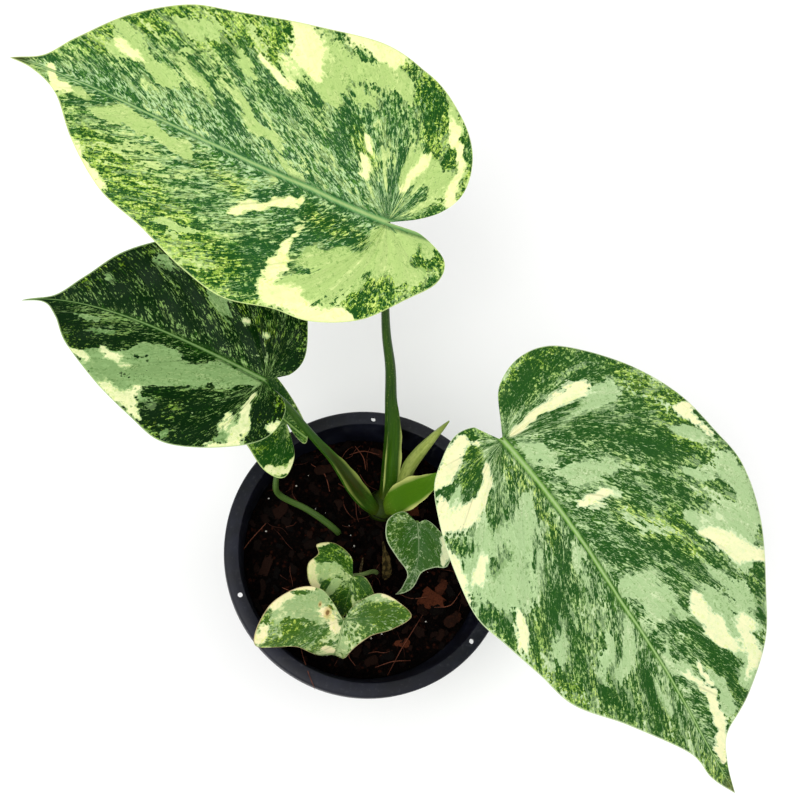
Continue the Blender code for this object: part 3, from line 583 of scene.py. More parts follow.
leafSpots = {
    "tall": (
        ("cream", (10, -64, 4), (30, -66, 7), (50, -66, 6)),
        ("cream", (52, -60, 5), (49, -36, 4), (47, -12, 3)),
        ("cream", (50, -4, 2.5), (63, -13, 4), (80, -27, 3)),
        ("cream", (72, 66, 4), (84, 75, 12), (96, 86, 8)),
        ("cream", (84, 50, 1.5), (98, 57, 2.5), (112, 62, 2)),
        ("cream", (168, 25, 2.5), (182, 32, 3.5)),
        ("cream", (22, 22, 2), (23, 46, 3)),
        ("cream", (-16, 44, 2), (-10, 33, 3), (-4, 20, 1.5)),
        ("cream", (20, 97, 4), (60, 99, 5)),
        ("sage", (130, -8, 3), (168, -12, 4), (190, -8, 3)),
        ("cream", (196, -8, 2), (212, -3, 2)),
        ("cream", (150, -52, 3), (180, -38, 3)),
        ("cream", (-34, 20, 2), (-36, 45, 3), (-26, 70, 3)),
        ("sage", (-28, -8, 5), (0, -14, 11), (10, -32, 13), (28, -46, 10), (44, -66, 6)),
        ("sage", (-32, -22, 5), (-16, -30, 7), (0, -24, 10), (30, -30, 8)),
        ("sage", (-30, 34, 8), (-8, 34, 9)),
        ("sage", (6, 80, 4), (26, 84, 6), (48, 80, 9), (72, 76, 14)),
        ("sage", (34, 66, 6), (60, 62, 8), (82, 70, 10)),
        ("sage", (60, 8, 1.5), (80, 20, 2.5), (108, 36, 2)),
        ("sage", (112, 50, 3), (140, 62, 5), (160, 58, 4)),
        ("sage", (150, 22, 4), (182, 34, 7)),
        ("sage", (92, -48, 3), (110, -56, 3)),
        ("sage", (120, -6, 3), (170, -10, 4)),
        ("sage", (118, 26, 3), (150, 44, 4)),
        ("sage", (-16, 88, 3), (-30, 66, 3)),
        ("dark", (18, -15, 8), (30, -12, 11), (44, -14, 10)),
        ("dark", (42, -44, 3), (40, -30, 4), (42, -20, 4)),
        ("dark", (4, -56, 5), (-2, -44, 5), (-8, -38, 4)),
        ("dark", (-32, -20, 4), (-24, -22, 3), (-22, -10, 2)),
        ("dark", (58, -70, 6), (60, -48, 8), (54, -24, 4)),
        ("dark", (70, -58, 6), (68, -34, 5)),
        ("dark", (64, -6, 3), (70, -16, 4)),
        ("dark", (-26, 48, 5), (-16, 46, 3)),
        ("dark", (-34, 62, 2.5)),
        ("dark", (12, 90, 4)),
        ("dark", (-12, 62, 4), (-16, 78, 4), (-4, 84, 3)),
        ("dark", (0, 4, 2), (2, 24, 2), (2, 46, 3)),
        ("dark", (38, 38, 3), (46, 52, 3), (44, 66, 2)),
        ("dark", (62, 46, 3), (78, 58, 3)),
        ("dark", (128, 54, 3), (134, 60, 3)),
        ("dark", (170, -8, 1.5), (184, -12, 2.5), (194, -12, 2)),
        ("dark", (92, 16, 2), (120, 30, 3), (146, 44, 3)),
        ("dark", (212, 4, 4), (238, 0, 3)),
        ("warm", (80, -60, 12), (130, -50, 14), (170, -34, 8)),
        ("warm", (96, 76, 10), (130, 66, 12), (170, 56, 8), (200, 24, 8)),
        ("warm", (20, 30, 7), (34, 46, 6)),
        ("warm", (14, -14, 6), (44, -10, 8)),
        ("warm", (-34, 36, 8), (-20, 60, 10), (-10, 82, 8)),
        ("warm", (-30, -14, 9), (4, -50, 8)),
        ("warm", (84, -14, 6), (110, -8, 6)),
    ),
    "left": (
        ("sage", (8, -5, 4), (26, -11, 8), (46, -18, 11), (66, -28, 12), (88, -32, 10), (106, -30, 5)),
        ("sage", (54, -46, 5), (74, -42, 8), (96, -34, 6)),
        ("sage", (36, -12, 5), (60, -12, 5), (80, -20, 5)),
        ("sage", (96, 11, 2), (106, 17, 5), (112, 20, 2)),
        ("sage", (39, 28, 3), (50, 34, 4.5)),
        ("sage", (76, 32, 3), (86, 38, 5)),
        ("sage", (26, 14, 2.5), (32, 21, 4)),
        ("sage", (94, -12, 2), (104, -16, 4), (114, -18, 2)),
        ("sage", (6, -44, 4), (-2, -30, 3)),
        ("sage", (36, -58, 4), (32, -44, 4), (44, -54, 4)),
        ("sage", (44, 12, 1.5), (52, 20, 2)),
        ("sage", (110, -7, 1.5), (128, -9, 2)),
        ("cream", (58, -54, 4), (70, -48, 5), (84, -46, 4)),
        ("cream", (64, -44, 3), (66, -38, 3)),
        ("cream", (78, -30, 2), (86, -27, 3), (98, -24, 2)),
        ("cream", (104, -34, 2), (118, -28, 1.5)),
        ("cream", (2, -12, 1.5), (0, -26, 4), (-2, -42, 5)),
        ("cream", (8, -38, 3), (10, -30, 3)),
        ("cream", (-12, -44, 3), (2, -50, 4), (12, -54, 3)),
        ("cream", (-18, -26, 4.5)),
        ("cream", (4, 12, 2.4), (7, 18, 3)),
        ("cream", (11, 12, 2.2), (13, 26, 2.8)),
        ("cream", (22, 20, 2), (26, 28, 3)),
        ("cream", (30, -42, 3.2)),
        ("cream", (20, -46, 3), (26, -50, 2.6)),
        ("dark", (18, -48, 9), (34, -50, 9), (50, -52, 6)),
        ("dark", (12, -36, 4), (26, -32, 7), (42, -34, 6)),
        ("dark", (8, -18, 3), (12, -28, 3)),
        ("dark", (-8, -14, 4), (-8, -34, 4)),
        ("dark", (0, 20, 8), (40, 14, 8), (80, 16, 9), (110, 8, 6)),
        ("dark", (60, 26, 6), (100, 32, 8)),
        ("dark", (84, -12, 4), (110, -22, 5), (132, -10, 6)),
        ("dark", (128, 0, 5), (146, 0, 4)),
        ("warm", (-16, -14, 8), (-10, -22, 5)),
        ("warm", (110, 28, 9), (122, 16, 6)),
        ("warm", (10, 24, 8), (24, 30, 8)),
    ),
    "right": (
        ("cream", (7, -62, 6), (7, -48, 6), (5, -34, 4), (2, -12, 2)),
        ("cream", (62, -14, 2.5), (68, -26, 4.5)),
        ("cream", (2, 18, 2), (12, 34, 5), (14, 60, 8), (16, 76, 8)),
        ("cream", (-10, 12, 3), (-18, 26, 4), (-12, 46, 5), (0, 62, 5)),
        ("cream", (22, 78, 7), (38, 82, 7), (58, 86, 5)),
        ("cream", (84, 66, 2), (92, 74, 4), (104, 76, 4)),
        ("cream", (126, -70, 3), (142, -82, 7), (158, -94, 6)),
        ("cream", (152, -38, 2.5), (172, -42, 4), (196, -44, 3)),
        ("cream", (176, -58, 3), (204, -56, 6), (214, -50, 4)),
        ("cream", (188, -6, 1.5), (206, -14, 2.5), (232, -12, 5), (258, -4, 3)),
        ("cream", (60, -108, 3), (80, -112, 4)),
        ("cream", (186, -20, 1.5), (214, -16, 2)),
        ("cream", (46, 62, 3), (52, 72, 4)),
        ("sage", (10, -4, 2), (20, -10, 5), (28, -16, 2)),
        ("sage", (14, -40, 3), (22, -74, 5)),
        ("sage", (40, -14, 3), (50, -28, 4.5), (56, -40, 4)),
        ("sage", (114, -3, 3), (134, -14, 8), (152, -26, 5)),
        ("sage", (150, -60, 5), (168, -70, 9), (188, -74, 7)),
        ("sage", (104, -110, 7), (128, -104, 7)),
        ("sage", (128, -90, 9), (150, -84, 8)),
        ("sage", (160, -44, 9), (188, -52, 12), (212, -50, 10)),
        ("sage", (136, 10, 1.5), (150, 18, 4.5), (162, 27, 3)),
        ("sage", (134, 27, 1.5), (150, 36, 4), (162, 43, 2)),
        ("sage", (42, 16, 4), (52, 32, 10), (62, 48, 14), (70, 66, 14)),
        ("sage", (26, 22, 3), (40, 44, 7)),
        ("sage", (34, 52, 8), (46, 74, 12)),
        ("sage", (0, 44, 4), (8, 56, 4)),
        ("sage", (102, 42, 1.5), (110, 54, 3)),
        ("sage", (112, 52, 2), (128, 62, 4)),
        ("sage", (84, 8, 1.5), (88, 16, 2.5)),
        ("sage", (66, -96, 2), (78, -104, 3)),
        ("sage", (196, -24, 2.5), (224, -24, 3)),
        ("sage", (168, -2, 1.5), (196, -8, 3)),
        ("sage", (176, 12, 1.5), (200, 16, 2.5)),
        ("sage", (112, -66, 2.5), (124, -76, 3)),
        ("sage", (84, -82, 2.5), (96, -92, 3)),
        ("dark", (24, 10, 4), (30, 28, 5), (36, 44, 4)),
        ("dark", (-2, 28, 4), (6, 36, 4), (8, 46, 2.5)),
        ("dark", (-14, 14, 4), (-6, 24, 4)),
        ("dark", (-6, 56, 3), (-2, 48, 3)),
        ("dark", (56, 50, 3.5), (58, 60, 3)),
        ("dark", (74, 80, 3), (88, 78, 3.5)),
        ("dark", (30, 70, 2.5), (36, 64, 2.5)),
        ("dark", (42, 76, 2)),
        ("dark", (-14, -14, 5), (-16, -36, 8), (-16, -62, 7)),
        ("dark", (4, -68, 3), (8, -74, 2)),
        ("dark", (8, -24, 3), (12, -40, 4), (14, -52, 3)),
        ("dark", (24, -30, 7), (50, -64, 9), (72, -86, 7)),
        ("dark", (86, -6, 4), (100, -8, 5), (122, -22, 3)),
        ("dark", (96, -22, 4), (124, -44, 5)),
        ("dark", (150, -20, 3), (176, -32, 4), (222, -36, 4)),
        ("dark", (164, -86, 3), (190, -72, 3)),
        ("dark", (64, 12, 4), (92, 30, 6), (104, 62, 6)),
        ("dark", (170, 14, 3), (200, 22, 4)),
        ("dark", (150, 50, 5), (176, 42, 4)),
        ("warm", (84, -32, 7), (104, -48, 9), (124, -58, 7)),
        ("warm", (24, -94, 9), (54, -104, 9), (74, -92, 6)),
        ("warm", (-28, -34, 7), (-26, -58, 6)),
        ("warm", (10, 8, 5), (50, 12, 6), (66, 20, 6)),
        ("warm", (-10, 20, 8), (20, 46, 5)),
        ("warm", (250, 6, 8), (285, 0, 6)),
        ("warm", (120, 76, 6), (160, 66, 6)),
    ),
    "tucked": (
        ("cream", (-24, -14, 3), (-26, -26, 4), (-14, -34, 3)),
        ("sage", (-18, -30, 2.5), (-22, -24, 2.5)),
        ("dark", (-14, -20, 6), (-2, -24, 7), (8, -16, 8)),
        ("dark", (20, 8, 8), (50, 10, 9)),
        ("sage", (50, -10, 5), (74, -8, 7)),
        ("cream", (18, -26, 3), (26, -14, 3)),
        ("sage", (34, -20, 3), (40, -8, 3)),
        ("warm", (0, -20, 6), (14, -4, 6)),
    ),
    "front": (
        ("cream", (-4, 14, 3), (-2, 10, 3), (6, 4, 2.5)),
        ("cream", (-18, 26, 2.5), (-14, 40, 2)),
        ("cream", (-10, 40, 2.5), (-2, 48, 3)),
        ("cream", (12, 50, 3), (20, 52, 3)),
        ("cream", (22, 8, 2), (26, 2, 2)),
        ("cream", (-22, -22, 1.5), (-22, -32, 1.5)),
        ("sage", (-14, 18, 4), (-6, 26, 6), (-6, 36, 5)),
        ("sage", (2, 16, 2.5), (-4, 30, 4)),
        ("sage", (-20, -12, 2.5), (-22, -22, 3)),
        ("sage", (14, -2, 2), (22, -4, 2.5)),
        ("sage", (2, 44, 2.5), (10, 40, 2)),
        ("dark", (-4, 11, 2), (0, 9, 1.8)),
        ("dark", (6, 20, 3), (10, 30, 4), (8, 38, 3)),
        ("dark", (-14, 30, 1.5), (-12, 36, 1.5)),
        ("dark", (-8, -14, 5), (-10, -28, 6)),
        ("warm", (10, 40, 8), (20, 52, 8)),
        ("warm", (-16, -36, 7), (-8, -24, 6)),
        ("warm", (-2, 12, 5)),
    ),
    "fan": (
        ("cream", (-2, 30, 3), (8, 27, 2.5), (14, 20, 2)),
        ("cream", (-18, 22, 1.6), (-14, 29, 1.6)),
        ("cream", (18, 18, 1.6), (24, 10, 1.5)),
        ("sage", (-4, 12, 2.5), (0, 20, 5), (2, 27, 4)),
        ("sage", (6, 10, 2), (12, 14, 3)),
        ("sage", (10, -14, 2), (18, -12, 3), (24, -5, 2)),
        ("dark", (2, -10, 4), (8, -12, 3)),
        ("dark", (12, 2, 3), (22, 3, 4)),
        ("dark", (8, 16, 2), (12, 18, 2)),
        ("warm", (-14, 12, 5), (-12, 24, 4)),
        ("warm", (20, 2, 7)),
    ),
    "tailed": (
        ("cream", (12, -17, 2.5), (20, -20, 3), (26, -17, 1.5)),
        ("sage", (6, -4, 1), (14, -14, 1.4)),
        ("sage", (14, -2, 1), (22, -10, 1.4)),
        ("dark", (8, 8, 7), (20, 6, 6), (12, -8, 6)),
        ("dark", (22, -8, 4), (30, -4, 3)),
        ("warm", (-4, 14, 5), (8, 18, 4)),
    ),
}
grainSizes = dict(  # millimetres along and across the veins, then the round ones
    wide=(40, 13), clump=(11, 3.8), streak=(4.2, 1.15), thread=(3.2, 0.62), other=(16, 5.5), ink=(5.2, 1.9),
    strand=(45, 0.9), rounds=3.8, speck=1.7, scallop=2.3, fineScallop=1.15,
)
midribLook = dict(width=1.5, fullSize=220)
undersideGreen = screen(132, 158, 110)


def leafPaint(name, look):
    paint = Paint(name + "Variegation", Specular_IOR_Level=look.get("shine", 0.14))
    seed = look["seed"]
    veins = paint.moved(paint.uv("veins"), (seed * 10, seed * 7, seed))
    plan = paint.moved(paint.uv("plan"), (seed * 3, seed * 5, seed))
    _, veinRound, _ = paint.split(paint.uv("veins"))
    along, across, _ = paint.split(paint.uv("plan"))
    toEdge, outShare, _ = paint.split(paint.uv("reach"))
    spots = paint.attribute("patches")
    pullDark, pullSage, pullCream = paint.split(spots)
    pullWarm = paint.attribute("patches", 3)
    under = paint.attribute("under", 2)
    # Noises of falling size, drawn out along the veins, the small ones rounder near the margin
    wide = paint.noise(paint.grain(veins, *grainSizes["wide"]), 1, 4, 0.6, 0.4)
    clump = paint.noise(paint.grain(veins, *grainSizes["clump"]), 1, 4, 0.65, 0.5)
    rounds = paint.noise(plan, 1 / grainSizes["rounds"], 3, 0.65, 0.7)
    streak = paint.noise(paint.grain(veins, *grainSizes["streak"]), 1, 2, 0.6, 0.5)
    speck = paint.noise(plan, 1 / grainSizes["speck"], 2, 0.6, 0.9)
    thread = paint.noise(paint.grain(veins, *grainSizes["thread"]), 1, 2, 0.6, 0.4)
    other = paint.noise(paint.grain(paint.moved(veins, (40, 90, 7)), *grainSizes["other"]), 1, 4, 0.65, 0.5)
    length = leafShapes[name]["length"]
    roundish = max(0.0, 1 - length / 150)  # the marks of small leaves are rounder all over
    outward = ((outShare - 0.25) * 1.3 + roundish + ((8 - along) / 60).held()).held()
    fleck = streak + (speck - streak) * (outward * 0.6)
    clumpy = clump + (rounds - clump) * (outward * 0.6)
    # Rounded cells, so that the green islands have scalloped edges away from the midrib
    bent = paint.moved(plan, paint.stretched(paint.noise(plan, 1 / 5, 2, 0.5, 0, 1), (3.0, 3.0, 0)))
    dome = (0.42 - paint.cells(bent, 1 / grainSizes["scallop"])) * (0.35 + outward * 0.65)
    grainDome = 0.42 - paint.cells(bent, 1 / grainSizes["fineScallop"])
    ragged = (clumpy - 0.5) * 0.55 + (fleck - 0.5) * 0.16 - dome * 0.22
    # Where each tone shows
    sageMask = (wide + pullSage * 0.36 - pullDark * 0.42 + ragged).above(look["sageShare"], 0.02)
    veilMask = (other + (wide - 0.5) * 0.5 + pullSage * 0.2 - pullDark * 0.18 + (fleck - 0.5) * 0.4).above(
        look["veilShare"], 0.03)
    creamField = wide * 0.5 + clump * 0.2 + 0.15 + pullCream * 0.40 - pullDark * 0.3 + ragged * 0.9
    creamMask = creamField.above(look["creamShare"], 0.02)
    paleMask = creamField.above(look["creamShare"] - 0.08, 0.02)
    clumpMask = (clumpy + (wide - 0.5) * 0.4 - pullDark * 0.12).above(look["clumpShare"], 0.025)
    mottleMask = (thread * 0.6 + speck * 0.4 + (clumpy - 0.5) * 0.25 - pullDark * 0.04).above(look["mottleShare"], 0.03)
    crowd = (clumpy - 0.5) * 0.6 + (wide - 0.5) * 0.45 - pullDark * 0.06 + pullWarm * 0.03
    fleckMask = (fleck + crowd - dome * 0.12).above(look["fleckShare"], 0.035)
    brightMask = (fleck * 0.7 + thread * 0.3 + crowd * 0.8 + grainDome * outward * 0.16).above(
        look["fleckShare"] + 0.045, 0.03)
    threadMask = (thread + (other - 0.5) * 0.5 - pullDark * 0.04 + grainDome * 0.12).above(0.6, 0.03)
    threadMask = threadMask * (1 - outward * 0.5)
    ink = paint.noise(paint.grain(paint.moved(veins, (11, 53, 3)), *grainSizes["ink"]), 1, 3, 0.62, 0.6)
    inkMask = (ink + (other - 0.5) * -0.35 + pullDark * 0.06 - pullSage * 0.05 + dome * 0.16).above(
        look["inkShare"] + 0.01, 0.03)
    greenBit = (speck * 0.5 + clumpy * 0.5 + pullDark * 0.2).above(0.57, 0.03)
    # Greens, from blue-green at the midrib to warm green at the margin
    warm = (outward * 0.75 + (wide - 0.5) * 1.6 + pullWarm * 0.9).held()
    deep = paint.mix(warm, look["cool"], look["dark"])
    fleckTone = paint.mix(warm, look["coolFleck"], look["warmFleck"])
    colour = paint.mix(mottleMask * 0.6 + clumpMask * 0.35, deep, look["green"])
    colour = paint.mix(veilMask * 0.34, colour, look["sage"])
    colour = paint.mix(fleckMask * 0.6, colour, paint.mix(warm, look["coolFleck"], look["lime"]))
    colour = paint.mix(threadMask * 0.7, colour, look["coolFleck"])
    colour = paint.mix(brightMask * 0.85, colour, fleckTone)
    colour = paint.mix(inkMask * 0.8, colour, deep)
    # Sage and cream cell layers over them
    sage = paint.mix(clumpMask * 0.35 + (brightMask + threadMask) * 0.6, look["sage"], look["pale"])
    sage = paint.mix(veilMask * 0.16 + mottleMask * 0.12, sage, look["green"])
    sage = paint.mix(greenBit * 0.45 + inkMask * 0.25, sage, look["green"])
    colour = paint.mix(sageMask, colour, sage)
    colour = paint.mix(paleMask * 0.8, colour, look["pale"])
    cream = paint.mix(veilMask * 0.25 + (rounds - 0.42).held() * 1.5, look["cream"], look["pale"])
    cream = paint.mix(greenBit * pullCream.below(0.95, 0.5) * 0.6, cream, look["warmFleck"])
    colour = paint.mix(creamMask, colour, cream)
    # Midrib, with a painted highlight along its ridge and painted shade in the channels beside it, side veins, tip and
    # the pale margin
    ribSize = min(1.0, length / midribLook["fullSize"])
    ribWidth = ((1 - along / length * 0.96).held() ** 1.3 * midribLook["width"] + 0.25) * ribSize
    offRib = across.size() / ribWidth
    # The pale core is a painted highlight on the rib's ridge; the darker edges are painted shade in the channels beside
    # it
    ribCoreHighlight = offRib.below(0.55, 0.7)
    ribEdgeShade = (offRib.below(2.1, 1.2) - offRib.below(1.0, 0.6)).held()
    ribHere = offRib.below(1.1, 0.5)
    strands = paint.noise(paint.grain(plan, *grainSizes["strand"]), 1, 2, 0.5).above(0.52, 0.08)
    strands = strands * (across.size() / ((1 - along / length).held() * 5.5 * ribSize + 0.3)).below(0.8, 0.8)
    gap = bladeBuild["veinGap"]
    wander = (paint.noise(plan, 1 / 40, 1) - 0.5) * 3
    nearVein = ((veinRound + wander) / gap).maths("PINGPONG", 0.5) * gap
    sideVein = nearVein.below(0.5, 0.8) * outShare.below(0.8, 0.5)
    fineVein = (veinRound * 0.42 + wander * 0.3).maths("PINGPONG", 0.5).below(0.08, 0.12)
    colour = paint.mix(sideVein * (1 - sageMask * 0.8) * 0.3, colour, look["cool"])
    colour = paint.mix(strands * 0.5, colour, look["rib"])
    # Painted shade along both sides of the rib, over the channels beside it
    colour = paint.mix(ribEdgeShade * 0.6, colour, deep)
    colour = paint.mix(ribHere * 0.85, colour, look["rib"])
    # Painted highlight: a pale line along the top of the rib
    colour = paint.mix(ribCoreHighlight * 0.4, colour, look["pale"])
    colour = paint.mix((along / length).above(0.96, 0.06) * 0.85, colour, look["tip"])
    margin = (toEdge + (speck - 0.5) * 0.5).below(0.45, 0.5)
    colour = paint.mix(margin * 0.75, colour, look.get("margin", look["pale"]))
    for spotAlong, spotAcross, spotSize in look.get("brownSpots", ()):
        away = ((along - spotAlong) ** 2 + ((across - spotAcross) * 1.6) ** 2) ** 0.5 + (clumpy - 0.5) * spotSize * 2
        colour = paint.mix(away.below(spotSize * 1.5, spotSize) * 0.6, colour, screen(206, 170, 104))
        colour = paint.mix(away.below(spotSize * 0.7, spotSize * 0.4) * 0.85, colour, screen(104, 70, 32))
    colour = paint.mix(under * 0.5, colour, undersideGreen)
    relief = speck * 0.1 - sideVein * 0.6 - fineVein * 0.16 + sageMask * 0.08 + ribCoreHighlight * 0.5 - ribEdgeShade * 0.5
    normal = paint.bump(relief, 0.4 * mm, 0.55)
    roughness = 0.40 + 0.12 * speck + 0.2 * under
    return paint.feed(Base_Color=colour, Roughness=roughness, Normal=normal)


for name, leaf in leafShapes.items():
    blade = makeBlade(name + "Blade", leaf, leafLooks[name], leafSpots[name])
    finished(blade, leafPaint(name, leafLooks[name]), "variegated_leaf", name + "_blade")
print("blades done")


# Stalks: x, y, z, half width and half depth along each. Wings are the sheath's thin edges: angle round the stalk
# from its right side over the top, the shares of the route where it starts, peaks and ends, and its height.

stalkRoutes = {
    "tall": ((14, 42, 126, 5.4, 5.0), (15, 49, 132, 5.6, 5.2), (14, 65, 147, 5.4, 4.8),
             (12, 81, 167, 4.9, 4.3), (8, 97, 188, 4.2, 3.8), (4, 112, 210, 3.6, 3.3),
             (-3, 126, 236, 3.0, 2.9), (-8, 137, 262, 2.6, 2.6), (-13, 147, 292, 2.3, 2.3)),
    "left": ((7, 33, 126, 4.6, 4.0), (-1, 37, 135, 6.0, 3.4), (-11, 44, 146, 6.2, 3.0),
             (-22, 53, 160, 4.6, 2.8), (-31, 59, 172, 3.2, 2.8), (-44, 66, 190, 2.8, 2.7),
             (-55, 72, 206, 2.6, 2.5), (-67, 78, 226, 2.3, 2.3)),
    "right": ((15, 34, 126, 5.4, 4.2), (19, 36, 135, 8.0, 3.6), (26, 39, 148, 8.6, 3.2),
              (33, 41, 162, 7.4, 3.0), (41, 43, 180, 4.2, 3.0), (50, 46, 200, 3.0, 2.9),
              (58, 49, 224, 2.5, 2.5)),
    "tucked": ((-19, 16, 108, 2.4, 2.4), (-19, 16, 118, 2.4, 2.4), (-21, 17, 125, 2.4, 2.4),
               (-31, 23, 131, 2.4, 2.2), (-44, 30, 135, 2.3, 2.1), (-56, 34, 140, 2.2, 2.0),
               (-64, 37, 146, 2.2, 2.0), (-67, 41, 154, 2.2, 2.0), (-66, 52, 163, 2.0, 1.9),
               (-64, 68, 169, 1.8, 1.8)),
    "front": ((-17, -50, 108, 1.7, 1.7), (-17, -51, 124, 1.7, 1.7), (-18, -53, 145, 1.6, 1.6)),
    "fan": ((9, -12, 108, 1.7, 1.7), (9, -12, 122, 1.7, 1.7), (4, -13, 133, 1.6, 1.6),
            (-5, -17, 144, 1.5, 1.5)),
    "tailed": ((33, 9, 108, 1.8, 1.8), (33, 9, 122, 1.8, 1.8), (33, 13, 137, 1.7, 1.7)),
}
stalkWings = {
    "tall": ((28, 0.02, 0.20, 0.42, 3.4), (128, 0.02, 0.16, 0.36, 1.2)),
    "left": ((52, 0.04, 0.26, 0.58, 3.0), (128, 0.04, 0.26, 0.58, 3.0)),
    "right": ((30, 0.04, 0.30, 0.60, 2.6), (140, 0.04, 0.32, 0.62, 4.2)),
}
stalkBuild = dict(
    sides=36, ringsEach=7, endStraight=12.7, sink=1.5, groove=0.30, wideRing=2,
    knee=0.12, kneeAt=9, kneeReach=7,  # the swollen joint under the blade
)


def carriedFrames(centres, wideRing, endAlong=None):
    # Directions along the line, to its side and out of its top, with no twist from one ring to the next
    along = np.gradient(centres, axis=0)
    along /= np.linalg.norm(along, axis=1)[:, None]
    if endAlong is not None:
        along[-1] = endAlong
    upright = np.linalg.norm(along[wideRing][:2]) < 0.1
    held = np.array((1.0, 0, 0)) if upright else np.cross(along[wideRing], (0, 0, 1))
    side = np.empty_like(along)
    for ring in range(len(centres)):
        held = held - along[ring] * held.dot(along[ring])
        held /= np.linalg.norm(held)
        side[ring] = held
    return along, side, np.cross(side, along)


def tubeGrid(centres, side, out, wide, deep, reach):
    # Rings of points about the centres: reach multiplies the ellipse, one value for each ring and side
    sides = reach.shape[1]
    angle = np.linspace(0, 2 * math.pi, sides + 1)
    reach = np.concatenate([reach, reach[:, :1]], axis=1)
    ring = side[:, None] * (wide[:, None] * np.cos(angle) * reach)[..., None]
    ring = ring + out[:, None] * (deep[:, None] * np.sin(angle) * reach)[..., None]
    points = centres[:, None] + ring
    ends = [np.repeat(centres[end][None, None], sides + 1, axis=1) for end in (0, -1)]
    return np.concatenate([ends[0], points, ends[1]]), angle


def makeStalk(name, leaf, route, wings):
    build = stalkBuild
    normal = leafAxes(leaf)[2]
    end = np.array(leaf["junction"], float) - normal * build["sink"]
    wideEnd, deepEnd = route[-1][3:]
    bend = np.array(leaf["junction"], float) - normal * build["endStraight"]
    route = [*route, (*bend, wideEnd, deepEnd), (*end, wideEnd, deepEnd)]
    rings = build["ringsEach"] * (len(route) - 1) + 1
    share = np.linspace(0, 1, rings)
    line = smoothLine(route, share)
    centres, wide, deep = line[:, :3].copy(), line[:, 3].copy(), line[:, 4].copy()
    _, side, out = carriedFrames(centres, build["ringsEach"] * build["wideRing"], normal)
    run = np.concatenate([[0], np.cumsum(np.linalg.norm(np.diff(centres, axis=0), axis=1))])
    fromTop = run[-1] - run
    knee = 1 + build["knee"] * np.exp(-((fromTop - build["kneeAt"]) / build["kneeReach"]) ** 2)
    wide, deep = wide * knee, deep * knee
    degrees = np.arange(build["sides"]) * 360 / build["sides"]
    reach = np.ones((rings, build["sides"]))
    edge = np.zeros((rings, build["sides"]))
    hollow = np.zeros((rings, build["sides"]))
    flat = 0.10 * np.exp(-((degrees - 90) / 26) ** 2)
    reach -= flat[None] * np.clip((fromTop / 20), 0, 1)[:, None]
    for turn, start, peak, stop, height in wings:
        rise = np.clip((share - start) / (peak - start), 0, 1) * np.clip((stop - share) / (stop - peak), 0, 1)
        rise = np.sin(np.clip(rise, 0, 1) * math.pi / 2) * (1 + 0.10 * np.sin(run / 3.1 + turn))
        thin = np.exp(-((degrees - turn) / 9) ** 2)
        size = (wide + deep) / 2
        reach += (rise * height / size)[:, None] * thin[None]
        edge = np.maximum(edge, rise[:, None] * thin[None])
    if wings:
        low, high = wings[0][0], wings[-1][0]
        middle, span = (low + high) / 2, (high - low) / 2
        inside = np.clip(1 - ((degrees - middle) / (span * 0.9)) ** 2, 0, 1)
        rise = np.clip((share - 0.08) / 0.14, 0, 1) * np.clip((wings[0][3] - share) / 0.2, 0, 1)
        reach -= build["groove"] * rise[:, None] * inside[None]
        hollow = rise[:, None] * np.sqrt(inside[None])
    points, angle = tubeGrid(centres, side, out, wide, deep, reach)
    piece, row, column = movedGrid(name, points)
    run = np.concatenate([[0], run, run[-1:]])
    around = angle / (2 * math.pi)
    putUv(piece, "stalk", np.stack([run[row], around[column] * 20], -1))
    for mark, values in (("wingEdge", edge), ("hollow", hollow)):
        values = np.concatenate([values, values[:, :1]], axis=1)
        values = np.concatenate([values[:1], values, values[-1:]])
        putAttribute(piece, mark, values[row, column])
    putAttribute(piece, "fromTop", np.concatenate([fromTop[:1], fromTop, fromTop[-1:]])[row])
    closeUp(piece)
    smoothed(piece, 60)
    return piece


stalkLooks = {
    "tall": dict(body=screen(36, 62, 9), light=screen(66, 100, 26), sheath=screen(200, 212, 120),
                 hollow=screen(66, 104, 26)),
    "left": dict(body=screen(40, 76, 18), light=screen(74, 112, 38), sheath=screen(150, 162, 82),
                 hollow=screen(60, 64, 22)),
    "right": dict(body=screen(74, 118, 26), light=screen(110, 152, 46), sheath=screen(216, 220, 132),
                  hollow=screen(80, 122, 32)),
    "tucked": dict(body=screen(58, 86, 36), light=screen(98, 124, 66), sheath=screen(150, 160, 80)),
    "front": dict(body=screen(120, 140, 72), light=screen(164, 176, 112), sheath=screen(180, 180, 120)),
    "fan": dict(body=screen(104, 128, 70), light=screen(150, 166, 106), sheath=screen(180, 180, 120)),
    "tailed": dict(body=screen(84, 118, 52), light=screen(124, 150, 80), sheath=screen(180, 180, 120)),
}


